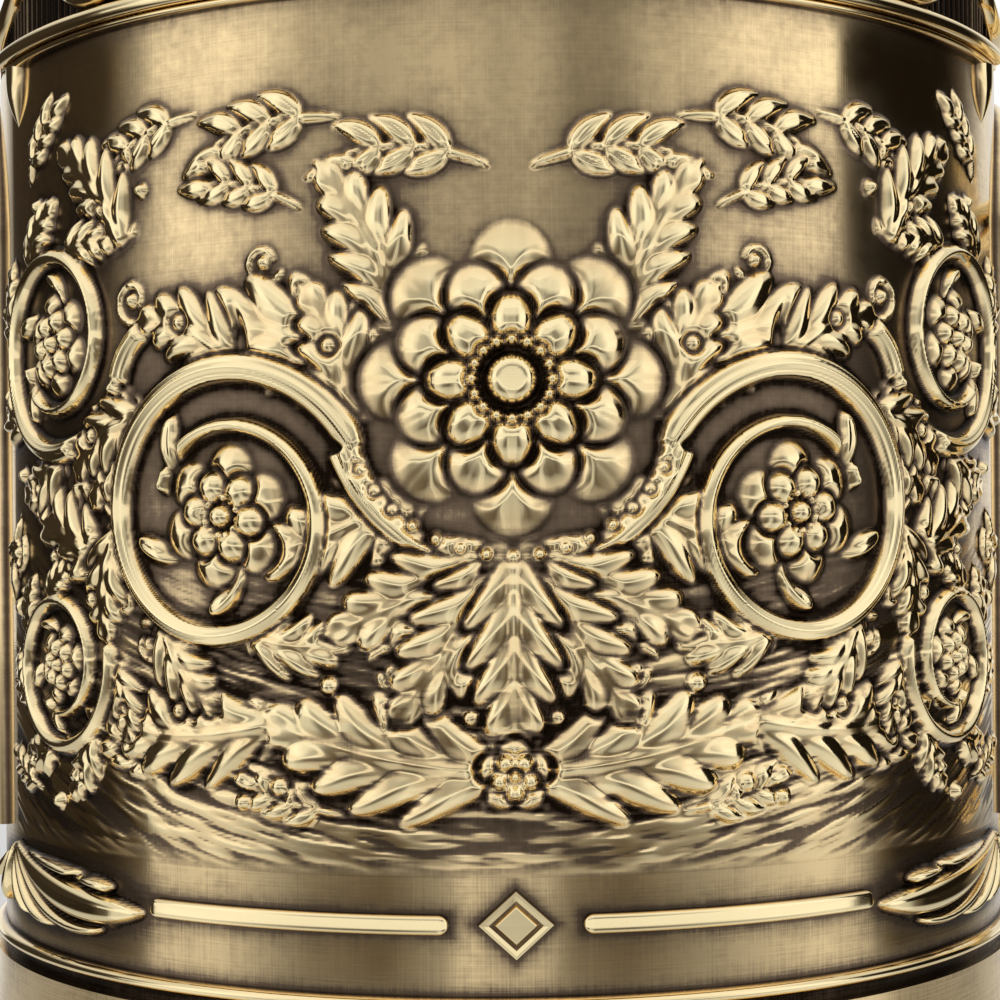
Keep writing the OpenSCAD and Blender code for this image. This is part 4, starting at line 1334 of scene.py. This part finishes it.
class HOLDER_OT_handle(bpy.types.Operator):
    """Cast the handle: plates, bow, thumb rest, curl and rivets"""

    bl_idname = "holder.handle"
    bl_label = "Handle"

    def execute(self, context):
        for name, shape, node in (
            ("bow", self.bow(), "handle_bow"),
            ("thumb_leaf", self.thumb_rest(), "thumb_rest"),
            ("under_curl", self.curl(), "handle_curl"),
            ("rivet_heads", self.rivets(), "handle_rivets"),
        ):
            make_piece(name, shape, "polished_brass", node, 50, "handle_finish")
        for level in ("upper", "lower"):
            node = f"handle_plate_{level}"
            shape, carved = self.plate(node)
            make_piece(f"lobed_plate_{level}", shape, "polished_brass", node, 90,
                       carved=carved)
        return {"FINISHED"}

    def plate(self, node):
        """A lobed plate on the wall. How far a point lies inside its outline is the
        largest of its distances inside two rectangles and four circles. The edge is
        rounded, and a line is cut parallel to it."""
        margin, round_w, line_in, line_w, line_d = 0.0006, 0.0007, 0.0012, 0.0002, 0.00025
        w, h = 2 * WALL_R * math.asin(high(node).y / high(node).x), tallness(node)
        thick = high(node).x - WALL_R - 2 * THIN
        field = Carving(w + margin, h + margin, cell_size(0.00015))
        u, v = np.meshgrid(np.abs(field.u), np.abs(field.v))
        inside = np.minimum(0.34 * w - u, 0.3 * h - v)
        inside = np.maximum(inside, np.minimum(0.25 * w - u, 0.5 * h - v))
        inside = np.maximum(inside, 0.16 * w - np.hypot(u - 0.34 * w, v - 0.34 * h))
        edge = np.clip(inside / round_w, 0, 1)
        line = np.exp(-(((inside - line_in) / line_w) ** 2))
        rise = thick * (0.3 + 0.7 * np.sqrt(edge * (2 - edge))) - line_d * line
        field.h = np.where(inside > 0, rise, 0)
        return cut_out(field, WALL_R * math.pi / 2, middle(node), 0.5)

    def rivets(self):
        """Domed heads on the four lobes of each plate."""
        r, tall = 0.0012, 0.0008
        shapes = []
        for node in ("handle_plate_upper", "handle_plate_lower"):
            for across, up in ((-1, -1), (-1, 1), (1, -1), (1, 1)):
                u = WALL_R * math.pi / 2 + across * 0.34 * 2 * high(node).y * 0.97
                z = middle(node) + up * 0.34 * tallness(node)
                shapes.append(boss(u, z, r, tall, (1, 0.7, 6), high(node).x - SUNK))
        return joined(shapes)

    def thumb_rest(self):
        """A leaf along a flat pad and then an arc, with a sunk midrib and veins that
        lean forward, into a rolled end. Its half width follows two arcs that meet in a
        point before its start."""
        thick, roll_r, pad, sweep = 0.0016, 0.0019, 0.00675, math.radians(58)
        leaf_l, steps = 0.0315, 24
        start, end = low("thumb_rest"), high("thumb_rest")
        wide = end.y - start.y
        r = (end.x - roll_r - start.x - pad) / math.sin(sweep)
        b = np.linspace(0, sweep, 60)
        along_x = np.append(np.linspace(0, pad, steps, endpoint=False), pad + r * np.sin(b))
        rise_z = np.append(np.zeros(steps), r * (1 - np.cos(b)))
        x, z = start.x + along_x, start.z + thick / 2 + rise_z
        path = np.stack([x, 0 * x, z], axis=1)
        arc_r = (leaf_l**2 + wide**2) / (4 * wide)
        off = along_x + 0.6 * pad - leaf_l / 2
        half = np.sqrt(arc_r**2 - off**2) - arc_r + wide / 2
        round_start = np.sqrt(np.clip(along_x / thick, 0.05, 1))
        half = (0.97 * half * round_start)[:, None]
        out, side = oval_section(72)
        t = np.linspace(0, 1, len(x))[:, None]
        vein = np.cos(2 * np.pi * (9 * t - 1.5 * np.abs(side))) * (1 - side**2)
        vein = vein * np.abs(side)
        midrib = np.exp(-((side / 0.1) ** 2))
        top = np.where(out > 0, 0.94 - 0.5 * midrib + 0.35 * vein, 1.0)
        tall = thick / 2 * round_start[:, None] * out * top
        rub = np.clip(0.65 + 0.4 * side**4 + 1.2 * vein - 0.6 * midrib, 0.05, 1)
        leaf = carried(path, tall, half * side, rub)
        return joined([leaf, roll(x[-1], z[-1], roll_r, half[-1, 0])])

    def curl(self):
        """A bar that leaves the bow and winds in, with a raised middle, to a roll: its
        radius is steady for a half turn and then falls."""
        r, thick, wide, roll_r = 0.005, 0.00198, 0.0036, 0.0014
        mid_x = high("handle_curl").x - r - thick / 2
        mid_z = low("handle_curl").z + r + thick / 2
        t = np.linspace(0, 1, 150)
        b = math.radians(120) - math.radians(400) * t
        reach = r * (1 - 0.62 * np.clip((t - 0.45) / 0.55, 0, 1) ** 1.2)
        path = np.stack([mid_x + reach * np.cos(b), 0 * b, mid_z + reach * np.sin(b)], axis=1)
        out, side = oval_section(40)
        grow = np.clip(0.4 + 4 * t, 0, 1) * (1 - 0.3 * t)
        relief = 0.8 + 0.2 * np.exp(-((side / 0.3) ** 2))
        tall = thick / 2 * grow[:, None] * out * relief
        rub = np.clip(0.35 + 3 * (relief - 0.8) + 0.3 * side**6, 0, 1)
        bar = carried(path, tall, wide / 2 * (1 - 0.2 * t[:, None]) * side, rub)
        return joined([bar, roll(path[-1, 0], path[-1, 2], roll_r, wide / 2)])

    def bow(self):
        """A bar along two straight arms and a half circle. Its outline across is a
        flattened oval, raised by a bell in the middle and by one towards each edge."""
        node = "handle_bow"
        thick, wide, steps = 0.0032, 2 * high(node).y, 30
        mid_z, r = middle(node), (tallness(node) - thick) / 2
        start_x, bow_x = WALL_R + 0.0013, high(node).x - thick / 2 - r
        arm = np.linspace(start_x, bow_x, steps, endpoint=False)
        b = np.linspace(np.pi / 2, -np.pi / 2, 120)
        x = np.concatenate([arm, bow_x + r * np.cos(b), arm[::-1]])
        z = mid_z + np.concatenate([np.full(steps, r), r * np.sin(b), np.full(steps, -r)])
        path = np.stack([x, 0 * x, z], axis=1)
        a = np.linspace(0, 2 * np.pi, 56, endpoint=False)
        side = np.sign(np.sin(a)) * np.abs(np.sin(a)) ** 0.7 * wide / 2
        share = np.abs(side) / (wide / 2)
        relief = 0.78 + 0.22 * np.exp(-((share / 0.28) ** 2))
        relief = relief + 0.16 * np.exp(-(((share - 0.78) / 0.14) ** 2))
        out = np.sign(np.cos(a)) * np.abs(np.cos(a)) ** 0.55 * thick / 2 * relief
        rub = 0.35 + 0.6 * np.clip((relief - 0.78) / 0.22, 0, 1)
        rub = np.clip(rub + 0.3 * (share > 0.93), 0, 1)
        ones = np.ones((len(path), 1))
        return carried(path, ones * out, ones * side, rub)


# Stage


class HolderStage(bpy.types.PropertyGroup):
    """The camera's place and lens."""

    distance: bpy.props.FloatProperty(
        name="Distance",
        description="Distance of the camera from the body's axis",
        default=0.1465,
        unit="LENGTH",
    )
    eye_height: bpy.props.FloatProperty(
        name="Eye height",
        description="Height of the camera over the floor",
        default=0.039,
        unit="LENGTH",
    )
    azimuth: bpy.props.FloatProperty(
        name="Azimuth",
        description="Angle of the camera round the body, positive towards +X",
        default=math.radians(-1.08),
        subtype="ANGLE",
    )
    roll: bpy.props.FloatProperty(
        name="Roll",
        description="Turn of the camera about its own line of sight",
        default=math.radians(0.48),
        subtype="ANGLE",
    )
    lens: bpy.props.FloatProperty(
        name="Lens",
        description="Focal length in millimetres on a 36 mm sensor",
        default=70.56,
        unit="CAMERA",
    )


class HOLDER_OT_stage(bpy.types.Operator):
    """Set up the floor, the studio screen, the world and the camera"""

    bl_idname = "holder.stage"
    bl_label = "Stage"

    def execute(self, context):
        self.floor()
        self.screen(context.scene.holder_stage.azimuth)
        self.world(context.scene)
        self.camera(context.scene)
        context.scene.view_settings.view_transform = "Standard"
        return {"FINISHED"}

    def floor(self):
        """A pale floor, faintly mottled."""
        size = 3.0
        mesh = bpy.data.meshes.new("floor")
        corners = [(-size, -size, 0), (size, -size, 0), (size, size, 0), (-size, size, 0)]
        mesh.from_pydata(corners, [], [(0, 1, 2, 3)])
        floor = bpy.data.objects.new("floor", mesh)
        bpy.context.scene.collection.objects.link(floor)
        material, tree = blank_material("floor_paper")
        grain = stretched_noise(tree, object_place(tree), (300.0, 300.0, 300.0))
        pale = ramp(tree, grain, [(0.0, (0.8, 0.8, 0.79)), (1.0, (0.86, 0.86, 0.85))])
        shader = add_node(tree, "ShaderNodeBsdfPrincipled",
                          {"Base Color": pale, "Roughness": 0.7})
        add_node(tree, "ShaderNodeOutputMaterial", {"Surface": shader.outputs[0]})
        mesh.materials.append(material)

    def screen(self, azimuth):
        """A round studio screen outside the camera's place and cards on the floor in
        front of it, both seen only by the object: soft boxes and dark flags, given as
        levels by the angle from -Y towards +X. From the near floor outwards the lower
        levels give way to the upper ones."""
        r, tall, cards, columns = 0.7, 0.9, 8, 361
        clear_of_foot, over_floor = 0.004, 0.0004
        upper = (
            (-180, 0.8), (-150, 0.8), (-140, 0.04), (-93, 0.04), (-84, 0.35), (-76, 1.15),
            (-60, 1.15), (-50, 0.9), (-42, 0.56), (-25, 0.44), (-9, 0.56), (0, 0.42),
            (8, 0.46), (16, 0.27), (25, 0.28), (33, 0.52), (42, 0.68), (56, 1.15),
            (77.8, 1.15), (79.2, 0.03), (84, 0.01), (118, 0.01), (126, 0.1), (140, 0.8),
            (180, 0.8),
        )
        lower = (
            (-180, 0.5), (-150, 0.5), (-138, 0.04), (-93, 0.02), (-83, 0.12), (-80, 0.7),
            (-64, 0.7), (-52, 0.42), (-42, 0.22), (-25, 0.12), (-12, 0.34), (-8, 0.74),
            (-4, 0.6), (6, 0.56), (9, 0.46), (13, 0.22), (25, 0.14), (42, 0.3), (55, 0.5),
            (72, 0.76), (82, 0.6), (88, 0.15), (94, 0.02), (118, 0.02), (130, 0.2),
            (145, 0.5), (180, 0.5),
        )
        floor_r = np.linspace(FOOT_R + clear_of_foot, r, cards)
        profile_r = np.append(floor_r, r)[:, None]
        profile_z = np.append(np.full(cards, over_floor), tall)[:, None]
        angle = np.radians(np.linspace(-180, 180, columns))[None, :]
        points = np.stack([
            profile_r * np.sin(angle), -profile_r * np.cos(angle), profile_z + 0 * angle,
        ], axis=-1)
        light = self.screen_light(upper, lower, azimuth)
        for name, part, by_shadow in (("floor_cards", points[:cards], False),
                                      ("studio_screen", points[cards - 1:], True)):
            mesh = bpy.data.meshes.new(name)
            quads = grid_quads(len(part), columns)
            mesh.from_pydata(part.reshape(-1, 3).tolist(), [], quads.tolist())
            mesh.materials.append(light)
            screen = bpy.data.objects.new(name, mesh)
            bpy.context.scene.collection.objects.link(screen)
            screen.visible_camera = False
            screen.visible_diffuse = by_shadow
            screen.visible_shadow = by_shadow

    def screen_light(self, upper, lower, azimuth):
        """Light whose strength follows the angle, from the camera's azimuth, in which
        the body mirrors a place: its own angle round the axis, and more by the wall's
        radius over the place's radius times the sine of 0.6 of that angle. It turns
        brighter close to the foot, high up, and low down where the screen is lit. Dim
        light is warm."""
        material, tree = blank_material("screen_light")
        place = object_place(tree)
        axes = add_node(tree, "ShaderNodeSeparateXYZ", {0: place}).outputs
        around = angle_round(tree, axes)
        flat = add_node(tree, "ShaderNodeVectorMath", {0: place, 1: (1.0, 1.0, 0.0)},
                        operation="MULTIPLY").outputs[0]
        nearness = add_math(tree, "DIVIDE", WALL_R, self.length(tree, flat))
        bent = add_math(tree, "SINE", add_math(tree, "MULTIPLY", around, 0.6))
        around = add_math(tree, "ADD", around, add_math(tree, "MULTIPLY", nearness, bent))
        around = add_math(tree, "SUBTRACT", around, azimuth)
        share = add_math(tree, "MULTIPLY", around, 0.5 / math.pi)
        share = add_math(tree, "ADD", share, 0.5)
        near_level, far_level = (self.curve(tree, share, stops) for stops in (lower, upper))
        reach = self.length(tree, place)
        values = {"Value": reach, "From Min": 0.14, "From Max": 0.5}
        far = add_node(tree, "ShaderNodeMapRange", values).outputs[0]
        values = {0: far, 2: near_level, 3: far_level}
        level = add_node(tree, "ShaderNodeMix", values).outputs[0]
        level = self.brightened(tree, level, reach, (0.1, 0.065), 0.55)
        level = self.brightened(tree, level, axes["Z"], (0.3, 0.46), 0.75)
        lit = add_math(tree, "GREATER_THAN", level, 0.2)
        off_floor = add_math(tree, "GREATER_THAN", axes["Z"], 0.001)
        low_down = self.brightened(tree, level, axes["Z"], (0.15, 0.1), 0.9)
        share = add_math(tree, "MULTIPLY", lit, off_floor)
        values = {0: share, 2: level, 3: low_down}
        level = add_node(tree, "ShaderNodeMix", values).outputs[0]
        warmth = ramp(tree, level, [(0.0, (1.0, 0.76, 0.52)), (0.3, (1.0, 1.0, 1.0))])
        light = add_node(tree, "ShaderNodeEmission", {"Color": warmth, "Strength": level})
        add_node(tree, "ShaderNodeOutputMaterial", {"Surface": light.outputs[0]})
        return material

    def length(self, tree, vector):
        """The length of a vector."""
        node = add_node(tree, "ShaderNodeVectorMath", {0: vector}, operation="LENGTH")
        return node.outputs["Value"]

    def curve(self, tree, share, stops):
        """The level at a share of the full turn, by straight lines between the stops of
        angle in degrees and level."""
        node = add_node(tree, "ShaderNodeFloatCurve", {"Value": share})
        points = node.mapping.curves[0].points
        while len(points) < len(stops):
            points.new(0.5, 0.5)
        for point, (degrees, level) in zip(points, stops):
            point.location = (degrees / 360 + 0.5, level)
            point.handle_type = "VECTOR"
        node.mapping.update()
        return node.outputs[0]

    def brightened(self, tree, level, place, span, share):
        """A level that goes to full light by a share over a span of heights or reaches."""
        values = {"Value": place, "From Min": span[0], "From Max": span[1],
                  "To Max": share}
        amount = add_node(tree, "ShaderNodeMapRange", values).outputs[0]
        values = {0: amount, 2: level, 3: 1.0}
        return add_node(tree, "ShaderNodeMix", values).outputs[0]

    def world(self, scene):
        """An even white studio."""
        world = bpy.data.worlds.new("studio")
        world.use_nodes = True
        background = world.node_tree.nodes["Background"]
        background.inputs["Color"].default_value = (1.0, 1.0, 1.0, 1.0)
        background.inputs["Strength"].default_value = 1.0
        scene.world = world

    def camera(self, scene):
        """A level camera at the photograph's height and distance, whose horizon lies a
        twentieth of the frame below the middle."""
        stage = scene.holder_stage
        data = bpy.data.cameras.new("camera")
        data.lens = stage.lens
        data.sensor_width = 36.0
        data.sensor_fit = "HORIZONTAL"
        data.shift_x = -0.001
        data.shift_y = 0.05
        data.clip_start = 0.01
        camera = bpy.data.objects.new("camera", data)
        scene.collection.objects.link(camera)
        a, d = stage.azimuth, stage.distance
        camera.location = (d * math.sin(a), -d * math.cos(a), stage.eye_height)
        camera.rotation_euler = (math.pi / 2, stage.roll, a)
        scene.camera = camera


# Panel and run

OPERATORS = (
    HOLDER_OT_materials,
    HOLDER_OT_turned_work,
    HOLDER_OT_relief,
    HOLDER_OT_mouldings,
    HOLDER_OT_border,
    HOLDER_OT_crests,
    HOLDER_OT_sides,
    HOLDER_OT_handle,
    HOLDER_OT_stage,
)
GROUPS = {
    "holder_brass": HolderBrass,
    "holder_relief": HolderRelief,
    "holder_stage": HolderStage,
}


class HOLDER_PT_panel(bpy.types.Panel):
    """Lists the steps that build the holder"""

    bl_idname = "HOLDER_PT_panel"
    bl_label = "Glass holder"
    bl_space_type = "VIEW_3D"
    bl_region_type = "UI"
    bl_category = "Glass holder"

    def draw(self, context):
        for operator in OPERATORS:
            self.layout.operator(operator.bl_idname)


CLASSES = (*GROUPS.values(), *OPERATORS, HOLDER_PT_panel)


def register():
    for part in CLASSES:
        bpy.utils.register_class(part)
    for name, group in GROUPS.items():
        setattr(bpy.types.Scene, name, bpy.props.PointerProperty(type=group))


def unregister():
    for name in GROUPS:
        delattr(bpy.types.Scene, name)
    for part in reversed(CLASSES):
        bpy.utils.unregister_class(part)


def main():
    """Builds the holder and its stage."""
    register()
    bpy.ops.holder.materials()
    bpy.ops.holder.turned_work()
    bpy.ops.holder.relief()
    bpy.ops.holder.mouldings()
    bpy.ops.holder.border()
    bpy.ops.holder.crests()
    bpy.ops.holder.sides()
    bpy.ops.holder.handle()
    bpy.ops.holder.stage()


if __name__ == "__main__":
    main()
